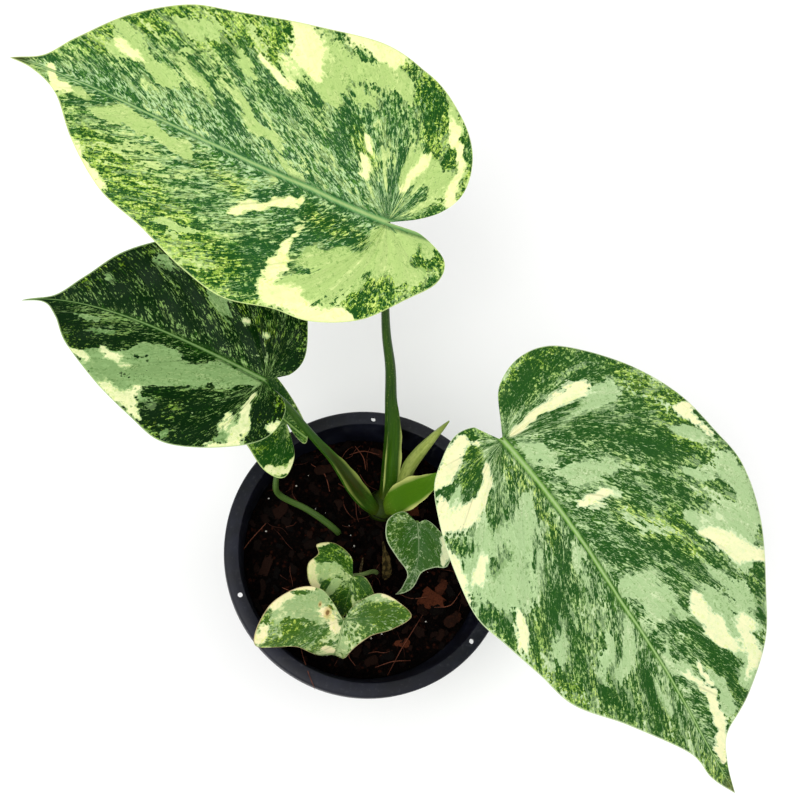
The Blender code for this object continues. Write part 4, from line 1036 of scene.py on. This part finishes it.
def stalkPaint(name, look):
    paint = Paint(name + "StalkGreen", Specular_IOR_Level=0.25)
    uv = paint.uv("stalk")
    run, _, _ = paint.split(uv)
    edge = paint.attribute("wingEdge", 2)
    fromTop = paint.attribute("fromTop", 2)
    streak = paint.noise(paint.grain(uv, 22, 0.7), 1, 4, 0.6)
    broad = paint.noise(paint.grain(uv, 60, 4), 1, 3, 0.5)
    dots = paint.noise(paint.grain(uv, 1.4, 0.8), 1, 2, 0.6)
    colour = paint.mix(((streak - 0.35) * 2.2).held(), look["body"], look["light"])
    colour = paint.mix(((broad - 0.5) * 2.5).held(), colour, look["light"])
    colour = paint.mix(dots.above(0.66, 0.04) * 0.35, colour, look["sheath"])
    if "hollow" in look:
        lining = paint.mix(streak.above(0.5, 0.2) * 0.5, look["hollow"], look["body"])
        colour = paint.mix((paint.attribute("hollow", 2) * 1.6).held(), colour, lining)
    colour = paint.mix(((edge - 0.4) * 2.2).held() * 0.85, colour, look["sheath"])
    colour = paint.mix(fromTop.below(12, 10) * 0.4, colour, look["light"])
    foot = run.below(7, 12)
    colour = paint.mix(foot * 0.6, colour, screen(70, 70, 30))
    normal = paint.bump(streak * 0.6 + dots * 0.2, 0.3 * mm, 0.6)
    return paint.feed(Base_Color=colour, Roughness=0.36 + streak * 0.14, Normal=normal)


for name, leaf in leafShapes.items():
    stalk = makeStalk(name + "Stalk", leaf, stalkRoutes[name], stalkWings.get(name, ()))
    finished(stalk, stalkPaint(name, stalkLooks[name]), "stem_green", name + "_stalk")
print("stalks done")


# The new leaf, still rolled into a spike, with the free edge of the roll down its length

rolledLeaf = dict(
    route=((19, 41, 126, 3.0, 3.0), (24, 48, 137, 3.8, 3.8), (26, 57, 160, 4.6, 4.2), (28, 60, 190, 4.0, 3.6),
           (31, 62, 220, 2.6, 2.4), (33, 63, 240, 1.5, 1.4), (34, 63, 254, 0.5, 0.5)),
    sides=40, rings=90, step=0.20, seamAt=150, seamTwist=70,
    colour=screen(150, 168, 78), pale=screen(196, 206, 122), tip=screen(106, 128, 58),
)


def makeRolledLeaf(look):
    share = np.linspace(0, 1, look["rings"])
    line = smoothLine(look["route"], share)
    _, side, out = carriedFrames(line[:, :3], 12)
    degrees = np.arange(look["sides"]) * 360 / look["sides"]
    seam = look["seamAt"] + look["seamTwist"] * share
    behind = ((degrees[None] - seam[:, None]) % 360) / 360
    reach = 1 + look["step"] * (0.5 - behind)
    points, angle = tubeGrid(line[:, :3], side, out, line[:, 3], line[:, 4], reach)
    piece, row, column = movedGrid("rolledLeaf", points)
    run = np.concatenate([[0], share, [1]]) * 140
    putUv(piece, "roll", np.stack([run[row], (angle / (2 * math.pi) * 20)[column]], -1))
    seamNear = np.exp(-(np.minimum(behind, 1 - behind) / 0.03) ** 2)
    seamNear = np.concatenate([seamNear, seamNear[:, :1]], axis=1)
    seamNear = np.concatenate([seamNear[:1], seamNear, seamNear[-1:]])
    putAttribute(piece, "seam", seamNear[row, column])
    closeUp(piece)
    smoothed(piece, 50)
    return piece


def rolledPaint(look):
    paint = Paint("rolledLeafGreen", Specular_IOR_Level=0.32)
    uv = paint.uv("roll")
    run, _, _ = paint.split(uv)
    seam = paint.attribute("seam", 2)
    streak = paint.noise(paint.grain(uv, 26, 1.1), 1, 4, 0.6)
    mottle = paint.noise(paint.grain(uv, 5, 1.6), 1, 3, 0.6)
    colour = paint.mix(((streak - 0.36) * 2.4).held(), look["colour"], look["pale"])
    colour = paint.mix(mottle.above(0.56, 0.05) * 0.35, colour, look["tip"])
    colour = paint.mix(run.above(112, 30) * 0.7, colour, look["tip"])
    colour = paint.mix(seam * 0.6, colour, look["tip"])
    normal = paint.bump(streak + seam * 0.5, 0.3 * mm, 0.5)
    return paint.feed(Base_Color=colour, Roughness=0.34 + streak * 0.16, Normal=normal)


finished(makeRolledLeaf(rolledLeaf), rolledPaint(rolledLeaf), "new_leaf_green", "rolled_leaf")


# The dry sheath by the crown and the withered stub of an old stalk

drySheath = dict(
    route=((16, -17, 108, 1.8, 1.2), (16, -17, 119, 2.4, 1.2), (16, -13, 126, 3.4, 1.0), (14, -6, 135, 3.0, 0.8),
           (11, 0, 144, 1.6, 0.6), (9, 5, 151, 0.5, 0.4)),
    rings=60, sides=24, wrinkle=0.16,
    colour=screen(62, 56, 30), light=screen(112, 96, 58), dark=screen(34, 26, 16),
)
witheredStub = dict(
    route=((-3, -12, 116, 1.0, 1.0), (-3, -11, 124, 1.0, 0.9), (-3, -7, 130, 0.8, 0.6), (-3, -4, 135, 0.5, 0.4)),
    rings=24, sides=12, wrinkle=0.2,
    colour=screen(98, 84, 58), light=screen(150, 134, 98), dark=screen(50, 38, 26),
)


def makeWithered(name, look):
    share = np.linspace(0, 1, look["rings"])
    line = smoothLine(look["route"], share)
    _, side, out = carriedFrames(line[:, :3], look["rings"] // 2)
    degrees = np.radians(np.arange(look["sides"]) * 360 / look["sides"])
    crease = np.sin(degrees[None] * 3 + share[:, None] * 9) + 0.7 * np.sin(degrees[None] * 7 - share[:, None] * 31)
    reach = 1 + look["wrinkle"] * crease * np.sin(math.pi * np.clip(share * 1.1, 0, 1))[:, None]
    points, angle = tubeGrid(line[:, :3], side, out, line[:, 3], line[:, 4], reach)
    piece, row, column = movedGrid(name, points)
    putUv(piece, "length", np.stack([np.concatenate([[0], share, [1]])[row] * 40, angle[column] * 2], -1))
    closeUp(piece)
    smoothed(piece, 40)
    return piece


def witheredPaint(name, look):
    paint = Paint(name, Specular_IOR_Level=0.15)
    uv = paint.uv("length")
    fibre = paint.noise(paint.grain(uv, 9, 0.6), 1, 5, 0.65)
    blotch = paint.noise(paint.grain(uv, 5, 3), 1, 3, 0.6)
    colour = paint.mix(((fibre - 0.35) * 2.5).held(), look["dark"], look["colour"])
    colour = paint.mix(blotch.above(0.52, 0.1) * 0.7, colour, look["light"])
    normal = paint.bump(fibre + blotch * 0.5, 0.6 * mm, 0.8)
    return paint.feed(Base_Color=colour, Roughness=0.7 + fibre * 0.25, Normal=normal)


finished(makeWithered("drySheath", drySheath), witheredPaint("drySheathBrown", drySheath), "withered_sheath",
         "dry_sheath")
finished(makeWithered("witheredStub", witheredStub), witheredPaint("stubBrown", witheredStub), "withered_sheath")
print("rolled leaf and dry pieces done")


# Crown: the short ringed stem

crownLook = dict(at=(13, 37), radius=12.0, foot=100, top=130, dome=7, domeSteps=7,
                 colour=screen(34, 46, 10), scar=screen(30, 20, 10), light=screen(64, 82, 22))


def makeCrown(look):
    x, y = look["at"]
    shoulder = look["top"] - look["dome"]
    bpy.ops.mesh.primitive_cylinder_add(
        vertices=72, radius=look["radius"] * mm, depth=(shoulder - look["foot"]) * mm,
        location=(x * mm, y * mm, (shoulder + look["foot"]) / 2 * mm), end_fill_type="NGON")
    piece = bpy.context.object
    piece.name = "ringedCrown"
    bpy.ops.object.transform_apply(location=True, rotation=False, scale=False)
    bpy.ops.object.mode_set(mode="EDIT")
    bpy.ops.mesh.select_all(action="DESELECT")
    bpy.ops.mesh.select_mode(type="FACE")
    bpy.ops.object.mode_set(mode="OBJECT")
    for face in piece.data.polygons:
        face.select = face.normal.z > 0.9
    bpy.ops.object.mode_set(mode="EDIT")
    # The dome: the top ring is carried up and in, step by step
    radius, height = 1.0, 0.0
    for step in range(1, look["domeSteps"] + 1):
        turn = math.radians(86 * step / look["domeSteps"])
        newRadius, newHeight = math.cos(turn), look["dome"] * math.sin(turn)
        bpy.ops.mesh.extrude_region_move(TRANSFORM_OT_translate={"value": (0, 0, (newHeight - height) * mm)})
        shrink = newRadius / radius
        bpy.ops.transform.resize(value=(shrink, shrink, 1), center_override=(x * mm, y * mm, 0))
        radius, height = newRadius, newHeight
    bpy.ops.mesh.select_all(action="SELECT")
    bpy.ops.mesh.normals_make_consistent(inside=False)
    bpy.ops.object.mode_set(mode="OBJECT")
    smoothed(piece, 50)
    return piece


def crownPaint(look):
    paint = Paint("crownGreen", Specular_IOR_Level=0.12)
    place = paint.place()
    _, _, z = paint.split(place)
    ring = (z * 1000 / 4.2 + (paint.noise(place, 160, 2) - 0.5) * 0.8).maths("PINGPONG", 0.5)
    fibre = paint.noise(paint.stretched(place, (900, 900, 160)), 1, 4, 0.6)
    colour = paint.mix(fibre, look["colour"], look["light"])
    colour = paint.mix(ring.below(0.1, 0.08) * 0.8, colour, look["scar"])
    colour = paint.mix(z.below(0.125, 0.006) * 0.6, colour, look["scar"])
    normal = paint.bump(fibre * 0.4 + ring.above(0.1, 0.1), 0.5 * mm, 0.7)
    return paint.feed(Base_Color=colour, Roughness=0.45 + fibre * 0.2, Normal=normal)


finished(makeCrown(crownLook), crownPaint(crownLook), "stem_green", "crown")
print("crown done")


# Nursery pot: one wall turned round, then its holes

potBuild = dict(
    height=150, rim=100, rimBand=10, rimThickness=2.4, skirt=11, wall=2.2, base=71, foot=6, floorTop=6,
    floorUnder=3.2, centreDisc=16, steps=192,
    hangerHole=1.7, hangerAt=94, hangerAngles=(89, 201, 319),
    drainHole=4.5, drainAt=4, drainRings=((48, 8), (28, 4)), cutLength=14,
)
potLook = dict(colour=screen(13, 20, 35), light=screen(26, 34, 52), dust=screen(84, 84, 88))


def potInner(height):
    build = potBuild
    share = (height - build["floorTop"]) / (build["height"] - build["floorTop"])
    low, high = build["base"] - build["wall"], build["rim"] - build["rimBand"]
    return low + share * (high - low)


def potProfile():
    # Radius and height, down the outside, under the foot, and up the inside, back to the start
    build = potBuild
    top, rim, wall = build["height"], build["rim"], build["wall"]
    under = top - build["rimThickness"]
    skirt = top - build["skirt"]
    base, foot = build["base"], build["foot"]
    innerTop = potInner(top)
    outer = potInner(under) + wall
    disc, floorUnder, floorTop = build["centreDisc"], build["floorUnder"], build["floorTop"]
    return [
        (innerTop + 0.15, top - 0.9), (innerTop + 0.5, top - 0.3), (innerTop + 1.2, top), (rim - 1.9, top - 0.1),
        (rim - 0.9, top - 0.5), (rim - 0.3, top - 1.1), (rim, top - 2.0), (rim, skirt + 0.6), (rim - 0.4, skirt),
        (rim - wall + 0.4, skirt), (rim - wall, skirt + 0.5), (rim - wall, under - 0.8),
        (rim - wall - 0.8, under), (outer + 1.0, under), (outer, under - 1.0), (outer - 1.4, top - 16),
        (base + 8.4, 66), (base + 8.1, 65.2), (base + 7.5, 64.9), (base + 1.0, 6.0), (base + 0.3, 2.0),
        (base - 0.2, 0.6), (base - 0.9, 0.0), (base - foot + 0.5, 0.0), (base - foot, 0.5),
        (base - foot, floorUnder), (disc, floorUnder), (disc, 0.4), (disc - 0.4, 0.0), (1.0, 0.0), (0.0, 0.0),
    ], [
        (0.0, floorTop), (1.0, floorTop), (potInner(floorTop) - 2.4, floorTop),
        (potInner(floorTop) - 0.7, floorTop + 0.6), (potInner(floorTop + 2.5), floorTop + 2.5),
        (potInner(60), 60), (potInner(118), 118), (innerTop - 0.3, top - 2.2),
    ]


def makePot():
    build = potBuild
    outside, inside = potProfile()
    profile = [(max(radius, 0.0), height) for radius, height in outside + inside]
    profile.append(profile[0])
    # A circle at the rim's inner edge, drawn out ring by ring to the next place of the profile
    radius, height = profile[0]
    bpy.ops.mesh.primitive_circle_add(vertices=build["steps"], radius=radius * mm, location=(0, 0, 0))
    pot = bpy.context.object
    pot.name = "nurseryPot"
    bpy.ops.object.mode_set(mode="EDIT")
    bpy.ops.mesh.select_all(action="SELECT")
    bpy.ops.transform.translate(value=(0, 0, height * mm))
    for nextRadius, nextHeight in profile[1:]:
        bpy.ops.mesh.extrude_edges_move(TRANSFORM_OT_translate={"value": (0, 0, (nextHeight - height) * mm)})
        scale = max(nextRadius, 0.001) / max(radius, 0.001)
        bpy.ops.transform.resize(value=(scale, scale, 1), center_override=(0, 0, nextHeight * mm))
        radius, height = nextRadius, nextHeight
    bpy.ops.object.mode_set(mode="OBJECT")
    closeUp(pot)
    holes = []
    for angle in build["hangerAngles"]:
        turn = math.radians(angle)
        holes.append((build["hangerAt"], turn, build["hangerHole"], build["height"]))
    for ringRadius, count in build["drainRings"]:
        for number in range(count):
            holes.append((ringRadius, 2 * math.pi * (number + 0.5) / count, build["drainHole"], build["drainAt"]))
    cutters = []
    for ringRadius, turn, radius, height in holes:
        place = (ringRadius * math.cos(turn) * mm, ringRadius * math.sin(turn) * mm, height * mm)
        bpy.ops.mesh.primitive_cylinder_add(vertices=24, radius=radius * mm, depth=build["cutLength"] * mm,
                                            location=place)
        cutters.append(bpy.context.object)
    bpy.ops.object.select_all(action="DESELECT")
    for cutter in cutters:
        cutter.select_set(True)
    bpy.context.view_layer.objects.active = cutters[0]
    bpy.ops.object.join()
    cutter = bpy.context.object
    bpy.ops.object.select_all(action="DESELECT")
    bpy.context.view_layer.objects.active = pot
    pot.select_set(True)
    cut = pot.modifiers.new("holes", "BOOLEAN")
    cut.operation = "DIFFERENCE"
    cut.solver = "EXACT"
    cut.object = cutter
    bpy.ops.object.modifier_apply(modifier="holes")
    bpy.data.objects.remove(cutter)
    smoothed(pot, 35)
    return pot


def potPaint(look):
    paint = Paint("nurseryBlackPlastic", Specular_IOR_Level=0.3)
    place = paint.place()
    grain = paint.noise(place, 1500, 3, 0.6)
    cloud = paint.noise(place, 40, 4, 0.6)
    scuff = paint.noise(paint.stretched(place, (300, 300, 60)), 1, 4, 0.7)
    colour = paint.mix(((cloud - 0.4) * 1.6).held(), look["colour"], look["light"])
    dusty = scuff.above(0.62, 0.12) * 0.22 + cloud.above(0.6, 0.2) * 0.08
    colour = paint.mix(dusty, colour, look["dust"])
    normal = paint.bump(grain, 0.12 * mm, 0.5)
    return paint.feed(Base_Color=colour, Roughness=0.42 + cloud * 0.2 + dusty * 0.5, Normal=normal)


finished(makePot(), potPaint(potLook), "black_plastic", "pot")
print("pot done")


# Potting mix: the uneven surface, then what lies on it

soilBuild = dict(
    top=122, lumps=1.5, rings=84, steps=260, edgeGap=0.6, crumb=1.3,
    below=((80, 0.6), (8.8, 0.6), (6.3, 3.0)),  # height and gap to the wall of the rings under the surface
)
soilLook = dict(dark=(0.0005, 0.0004, 0.0004, 1), brown=(0.005, 0.0022, 0.0014, 1), red=(0.045, 0.012, 0.006, 1))


def soilHeight(x, y):
    swell = np.sin(x / 11 + 0.7) * np.cos(y / 13) + 0.6 * np.sin((x + 2 * y) / 17 + 1.3)
    swell = swell + 0.4 * np.cos((2 * x - y) / 9)
    return soilBuild["top"] + soilBuild["lumps"] * swell * (1 - (np.hypot(x, y) / 90) ** 4)


def hills(x, y, size, seed):
    # Smooth hills of one size, from a table of seeded numbers
    table = np.random.default_rng(seed).random((64, 64))
    u, v = x / size + 31.3, y / size + 17.9
    i, j = np.floor(u).astype(int), np.floor(v).astype(int)
    f, g = u - i, v - j
    f, g = f * f * (3 - 2 * f), g * g * (3 - 2 * g)
    a, b = table[i % 64, j % 64], table[(i + 1) % 64, j % 64]
    c, d = table[i % 64, (j + 1) % 64], table[(i + 1) % 64, (j + 1) % 64]
    return (a * (1 - f) + b * f) * (1 - g) + (c * (1 - f) + d * f) * g - 0.5


def soilSurface(x, y):
    build = soilBuild
    rough = hills(x, y, 9, 1) * 1.6 + hills(x, y, 4.1, 2) * 1.4 + hills(x, y, 2.0, 3) * 1.1
    fade = np.clip((potInner(build["top"]) - build["edgeGap"] - np.hypot(x, y)) / 3, 0, 1)
    return soilHeight(x, y) + rough * build["crumb"] * fade


def makeSoil():
    build = soilBuild
    edge = potInner(build["top"]) - build["edgeGap"]
    radii = edge * np.linspace(0.004, 1, build["rings"])
    angle = np.linspace(0, 2 * math.pi, build["steps"] + 1)
    angle[-1] = 0
    x, y = radii[:, None] * np.cos(angle), radii[:, None] * np.sin(angle)
    z = soilSurface(x, y)
    top = np.stack([x, y, z], -1)
    rows = [np.zeros((1, len(angle), 3)) + [[[0, 0, z[0].mean()]]], top]
    for height, inset in build["below"]:
        radius = potInner(height) - inset
        rows.append(np.stack([radius * np.cos(angle), radius * np.sin(angle), np.full(len(angle), height)], -1)[None])
    rows.append(np.zeros((1, len(angle), 3)) + [[[0, 0, build["below"][-1][0]]]])
    piece, _, _ = movedGrid("pottingMix", np.concatenate(rows))
    closeUp(piece)
    smoothed(piece, 80)
    return piece


def soilPaint(look):
    paint = Paint("pottingMix", Specular_IOR_Level=0.03)
    place = paint.place()
    bent = paint.moved(place, paint.stretched(paint.noise(place, 300, 2, 0.5, 0, 1), (0.004, 0.004, 0.004)))
    crumbs = paint.cells(bent, 420, "F1", 0)
    tint = paint.cells(bent, 420, "F1", 1)
    tintRed, tintGreen, _ = paint.split(tint)
    fine = paint.noise(place, 1100, 4, 0.7)
    broad = paint.noise(place, 55, 4, 0.6)
    colour = paint.mix(((broad - 0.35) * 1.8).held(), look["dark"], look["brown"])
    colour = paint.mix(tintGreen.above(0.55, 0.5) * 0.6, colour, look["brown"])
    colour = paint.mix(tintRed.above(0.86, 0.1) * broad.above(0.45, 0.15) * 0.5, colour, look["red"])
    # Painted shade: darker in the gaps between the crumbs, where the bump sinks
    colour = paint.mix(crumbs.above(0.45, 0.3) * 0.8, colour, look["dark"])
    colour = paint.mix(fine.above(0.64, 0.08) * 0.25, colour, look["red"])
    normal = paint.bump((1 - crumbs) * 0.8 + fine * 0.5, 1.2 * mm, 1.0)
    return paint.feed(Base_Color=colour, Roughness=0.8 + fine * 0.2, Normal=normal)


finished(makeSoil(), soilPaint(soilLook), "potting_mix", "soil")
print("soil done")


# What lies on the potting mix: coir chips, loose fibres and a few crumbs of perlite

litterBuild = dict(
    seed=5, reach=84, keepOff=((13, 37, 13), (-19, 16, 4), (16, -16, 5)),
    chips=230, chipLength=(3.0, 8.5), bigChipThick=4.5, crumbs=26, crumbSize=(0.3, 0.75),
    fibres=46, fibreLength=(8, 26), fibreWidth=(0.14, 0.26), longFibreWidth=0.32, rimFibreWidth=0.26,
)
chipLook = dict(dark=(0.0012, 0.0007, 0.0005, 1), brown=(0.012, 0.004, 0.002, 1), orange=(0.075, 0.019, 0.008, 1))
fibreLook = dict(dark=(0.03, 0.009, 0.005, 1), light=(0.2, 0.065, 0.036, 1))
perliteLook = dict(white=(0.62, 0.6, 0.55, 1), stained=(0.22, 0.16, 0.1, 1))
bigChips = (  # x, y, length, width, turn, and how orange
    (49, -30, 14, 8, -35, 1.0), (44, -33, 10, 5, -10, 0.9), (55, -22, 9, 5, 60, 0.75), (27, -62, 9, 5, 20, 0.95),
    (36, 33, 9, 5, 10, 0.9), (40, 20, 8, 5, 70, 0.6), (-62, 30, 10, 6, 50, 0.42), (-30, 62, 11, 5, 15, 0.45),
    (-70, -10, 12, 5, 70, 0.45), (10, 76, 10, 4, -20, 0.55), (-52, -38, 11, 6, -50, 0.5), (64, -44, 10, 6, 40, 0.5),
)
longFibres = (
    ((-88, -1), (-81, 9), (-70, 22)), ((-12, 74), (-2, 77), (10, 75)), ((-8, 81), (-2, 72), (0, 63)),
    ((42, -41), (33, -55), (26, -66), (17, -83)), ((8, -78), (20, -74), (33, -73)), ((-40, 66), (-30, 58), (-26, 46)),
    ((-20, 52), (-8, 44), (-3, 30)), ((50, -36), (62, -34), (70, -24)), ((-58, -24), (-48, -30), (-44, -46)),
    ((24, -26), (34, -30), (48, -28)),
)
rimFibre = ((-45, -60, 124.6), (-44, -70, 135), (-42, -80, 147.5), (-40, -86.5, 151.4), (-37.5, -92, 150.9),
            (-36, -95, 149.9))


def freePlace(chance):
    while True:
        x, y = (chance.random(2) * 2 - 1) * litterBuild["reach"]
        if math.hypot(x, y) < litterBuild["reach"] and all(
                math.hypot(x - a, y - b) > radius for a, b, radius in litterBuild["keepOff"]):
            return x, y


def oneChip(number):
    # A flake of coir: a cube cut finer, pulled about and thinned to a ragged edge
    bpy.ops.mesh.primitive_cube_add(size=1)
    chip = bpy.context.object
    bpy.ops.object.mode_set(mode="EDIT")
    bpy.ops.mesh.select_all(action="SELECT")
    bpy.ops.mesh.subdivide(number_cuts=2, smoothness=0.35)
    bpy.ops.transform.vertex_random(offset=0.2, uniform=0.5, normal=0.2, seed=number)
    bpy.ops.transform.resize(value=(1, 1, 0.24))
    bpy.ops.mesh.normals_make_consistent(inside=False)
    bpy.ops.object.mode_set(mode="OBJECT")
    return chip


def oneCrumb(number):
    # A crumb of perlite: a rough rounded lump
    bpy.ops.mesh.primitive_ico_sphere_add(subdivisions=2, radius=1)
    crumb = bpy.context.object
    bpy.ops.object.mode_set(mode="EDIT")
    bpy.ops.mesh.select_all(action="SELECT")
    bpy.ops.transform.vertex_random(offset=0.16, uniform=0.5, normal=0.4, seed=number)
    bpy.ops.mesh.normals_make_consistent(inside=False)
    bpy.ops.object.mode_set(mode="OBJECT")
    return crumb


def strewn(name, models, places):
    # Copies of the models, each laid in its place with a mesh of its own, made one piece
    copies = []
    for number, (place, size, turn, tilt, tone) in enumerate(places):
        model = models[number % len(models)]
        copy = model.copy()
        copy.data = model.data.copy()
        bpy.context.collection.objects.link(copy)
        tipped = Matrix.Rotation(tilt[0], 4, "X") @ Matrix.Rotation(tilt[1], 4, "Y")
        scaled = Matrix.Diagonal((*(part * mm for part in size), 1))
        copy.data.transform(Matrix.Translation(Vector(place) * mm) @ tipped @ Matrix.Rotation(turn, 4, "Z") @ scaled)
        putAttribute(copy, "tone", np.full(len(copy.data.vertices), tone))
        copies.append(copy)
    return joined(name, copies, models)


def joined(name, copies, models=()):
    for model in models:
        bpy.data.objects.remove(model)
    bpy.ops.object.select_all(action="DESELECT")
    for copy in copies:
        copy.select_set(True)
    bpy.context.view_layer.objects.active = copies[0]
    bpy.ops.object.join()
    piece = bpy.context.object
    piece.name = name
    smoothed(piece, 35)
    return piece


def makeChips():
    chance = np.random.default_rng(litterBuild["seed"])
    places = []
    for x, y, length, width, turn, orange in bigChips:
        z = soilSurface(np.array(x), np.array(y)) + 0.9
        size = (length, width, litterBuild["bigChipThick"])
        places.append(((x, y, float(z)), size, math.radians(turn), (0.12, -0.1), orange))
    for _ in range(litterBuild["chips"]):
        x, y = freePlace(chance)
        length = chance.uniform(*litterBuild["chipLength"])
        size = (length, length * chance.uniform(0.4, 0.8), length * chance.uniform(0.5, 0.8))
        z = float(soilSurface(np.array(x), np.array(y))) + chance.uniform(-0.1, 0.5)
        tilt = chance.uniform(-0.45, 0.45, 2)
        places.append(((x, y, z), size, chance.uniform(0, math.tau), tilt, 0.42 * chance.random() ** 1.8))
    return strewn("coirChips", [oneChip(number) for number in range(4)], places)


def makeCrumbs():
    chance = np.random.default_rng(litterBuild["seed"] + 1)
    places = []
    for _ in range(litterBuild["crumbs"]):
        x, y = freePlace(chance)
        size = chance.uniform(*litterBuild["crumbSize"])
        z = float(soilSurface(np.array(x), np.array(y))) + size * 0.4
        places.append(((x, y, z), (size, size * chance.uniform(0.7, 1), size * 0.8), 0, (0, 0), chance.random()))
    return strewn("perliteCrumbs", [oneCrumb(number) for number in range(3)], places)


def oneFibre(route, width, tone):
    share = np.linspace(0, 1, 4 * (len(route) - 1) + 5)
    centres = smoothLine(route, share)
    _, side, out = carriedFrames(centres, 1)
    thick = width * (0.25 + 0.75 * np.sin(math.pi * np.clip(share, 0.04, 0.96)) ** 0.5)
    points, _ = tubeGrid(centres, side, out, thick, thick, np.ones((len(share), 5)))
    piece, _, _ = movedGrid("fibre", points)
    putAttribute(piece, "tone", np.full(len(piece.data.vertices), tone))
    closeUp(piece, 0.002)
    return piece


def makeFibres():
    chance = np.random.default_rng(litterBuild["seed"] + 2)
    fibres = []

    def lying(route, lift):
        flat = np.array(route, float)
        height = soilSurface(flat[:, 0], flat[:, 1]) + lift
        return np.column_stack([flat, height])

    for route in longFibres:
        lift = np.linspace(0.6, 1.0, len(route)) + np.array([0, *[1.3] * (len(route) - 2), 0])
        fibres.append(oneFibre(lying(route, lift), litterBuild["longFibreWidth"], chance.uniform(0.5, 1)))
    fibres.append(oneFibre(rimFibre, litterBuild["rimFibreWidth"], 0.7))
    for _ in range(litterBuild["fibres"]):
        x, y = freePlace(chance)
        heading, length = chance.uniform(0, math.tau), chance.uniform(*litterBuild["fibreLength"])
        route = [(x, y)]
        for _ in range(3):
            heading += chance.uniform(-0.7, 0.7)
            step = length / 3
            route.append((route[-1][0] + step * math.cos(heading), route[-1][1] + step * math.sin(heading)))
        route = [place for place in route if math.hypot(*place) < litterBuild["reach"] + 2]
        if len(route) > 2:
            lift = np.array([0.1, *[0.9] * (len(route) - 2), 0.2])
            width = chance.uniform(*litterBuild["fibreWidth"])
            fibres.append(oneFibre(lying(route, lift), width, chance.random() * 0.8))
    return joined("coirFibres", fibres)


def chipPaint(look):
    paint = Paint("coirChipBrown", Specular_IOR_Level=0.08)
    place = paint.place()
    tone = paint.attribute("tone", 2)
    grain = paint.noise(paint.stretched(place, (900, 900, 260)), 1, 4, 0.65)
    blotch = paint.noise(place, 240, 3, 0.6)
    colour = paint.mix((tone * 2.2 + (grain - 0.5) * 0.8).held(), look["dark"], look["brown"])
    colour = paint.mix(((tone - 0.5) * 2.2 + (blotch - 0.5) * 1.2).held(), colour, look["orange"])
    colour = paint.mix(grain.above(0.58, 0.1) * 0.5, colour, look["dark"])
    normal = paint.bump(grain + blotch * 0.4, 0.5 * mm, 0.8)
    return paint.feed(Base_Color=colour, Roughness=0.75 + grain * 0.25, Normal=normal)


def fibrePaint(look):
    paint = Paint("coirFibreRed", Specular_IOR_Level=0.12)
    tone = paint.attribute("tone", 2)
    patchy = paint.noise(paint.place(), 260, 3, 0.6)
    colour = paint.mix((tone * 0.8 + (patchy - 0.5) * 1.6).held(), look["dark"], look["light"])
    return paint.feed(Base_Color=colour, Roughness=0.6 + patchy * 0.3)


def perlitePaint(look):
    paint = Paint("perliteWhite", Specular_IOR_Level=0.1)
    pits = paint.noise(paint.place(), 2600, 3, 0.6)
    tone = paint.attribute("tone", 2)
    colour = paint.mix(((1 - tone) * 0.8 + (pits - 0.5) * 1.5).held(), look["white"], look["stained"])
    return paint.feed(Base_Color=colour, Roughness=0.85 + pits * 0.1, Normal=paint.bump(pits, 0.2 * mm, 0.8))


finished(makeChips(), chipPaint(chipLook), "potting_mix")
finished(makeCrumbs(), perlitePaint(perliteLook), "potting_mix")
finished(makeFibres(), fibrePaint(fibreLook), "potting_mix")
print("litter done")


# Stage: pale floor, soft light and the camera

stageLook = dict(
    floor=(0.93, 0.93, 0.925, 1), mark=(0.9, 0.9, 0.895, 1), sky=(1.0, 1.0, 1.0), skyStrength=0.85,
    keyPower=26, fillPower=6, lookAt=(0, 0.05, 0.2),
)
cameraPlace = dict(
    at=(-0.11031, -0.13856, 0.90651), forward=(0.16269, 0.30745, -0.93755), up=(-0.05257, 0.95156, 0.30292),
    lens=50, film=36,
)

bpy.ops.mesh.primitive_plane_add(size=12)
floor = bpy.context.object
floor.name = "floor"
floorPaint = Paint("paleFloor", Roughness=0.8)
floorSpeck = floorPaint.noise(floorPaint.place(), 60, 2)
floorTone = floorPaint.mix(floorSpeck * 0.04, stageLook["floor"], stageLook["mark"])
floor.data.materials.append(floorPaint.feed(Base_Color=floorTone))

world = bpy.context.scene.world or bpy.data.worlds.new("studio")
bpy.context.scene.world = world
world.use_nodes = True
world.node_tree.nodes["Background"].inputs["Color"].default_value = (*stageLook["sky"], 1)
world.node_tree.nodes["Background"].inputs["Strength"].default_value = stageLook["skyStrength"]

for lampName, lampAt, lampSize, power in (
    ("keyLight", (-0.9, -0.6, 1.9), 1.2, stageLook["keyPower"]),
    ("fillLight", (1.3, 0.4, 1.5), 1.5, stageLook["fillPower"]),
):
    bpy.ops.object.light_add(type="AREA", location=lampAt)
    lamp = bpy.context.object
    lamp.name = lampName
    lamp.data.size = lampSize
    lamp.data.energy = power
    lamp.rotation_euler = (Vector(stageLook["lookAt"]) - Vector(lampAt)).to_track_quat("-Z", "Y").to_euler()

forward = Vector(cameraPlace["forward"]).normalized()
right = forward.cross(Vector(cameraPlace["up"])).normalized()
up = right.cross(forward)
bpy.ops.object.camera_add(location=cameraPlace["at"])
camera = bpy.context.object
camera.name = "camera"
camera.data.lens = cameraPlace["lens"]
camera.data.sensor_width = cameraPlace["film"]
turned = np.array([right, up, -forward]).T
camera.matrix_world = Matrix(
    [(*turned[i], cameraPlace["at"][i]) for i in range(3)] + [(0, 0, 0, 1)])
bpy.context.scene.camera = camera
bpy.context.scene.view_settings.view_transform = "Standard"
print("stage done")
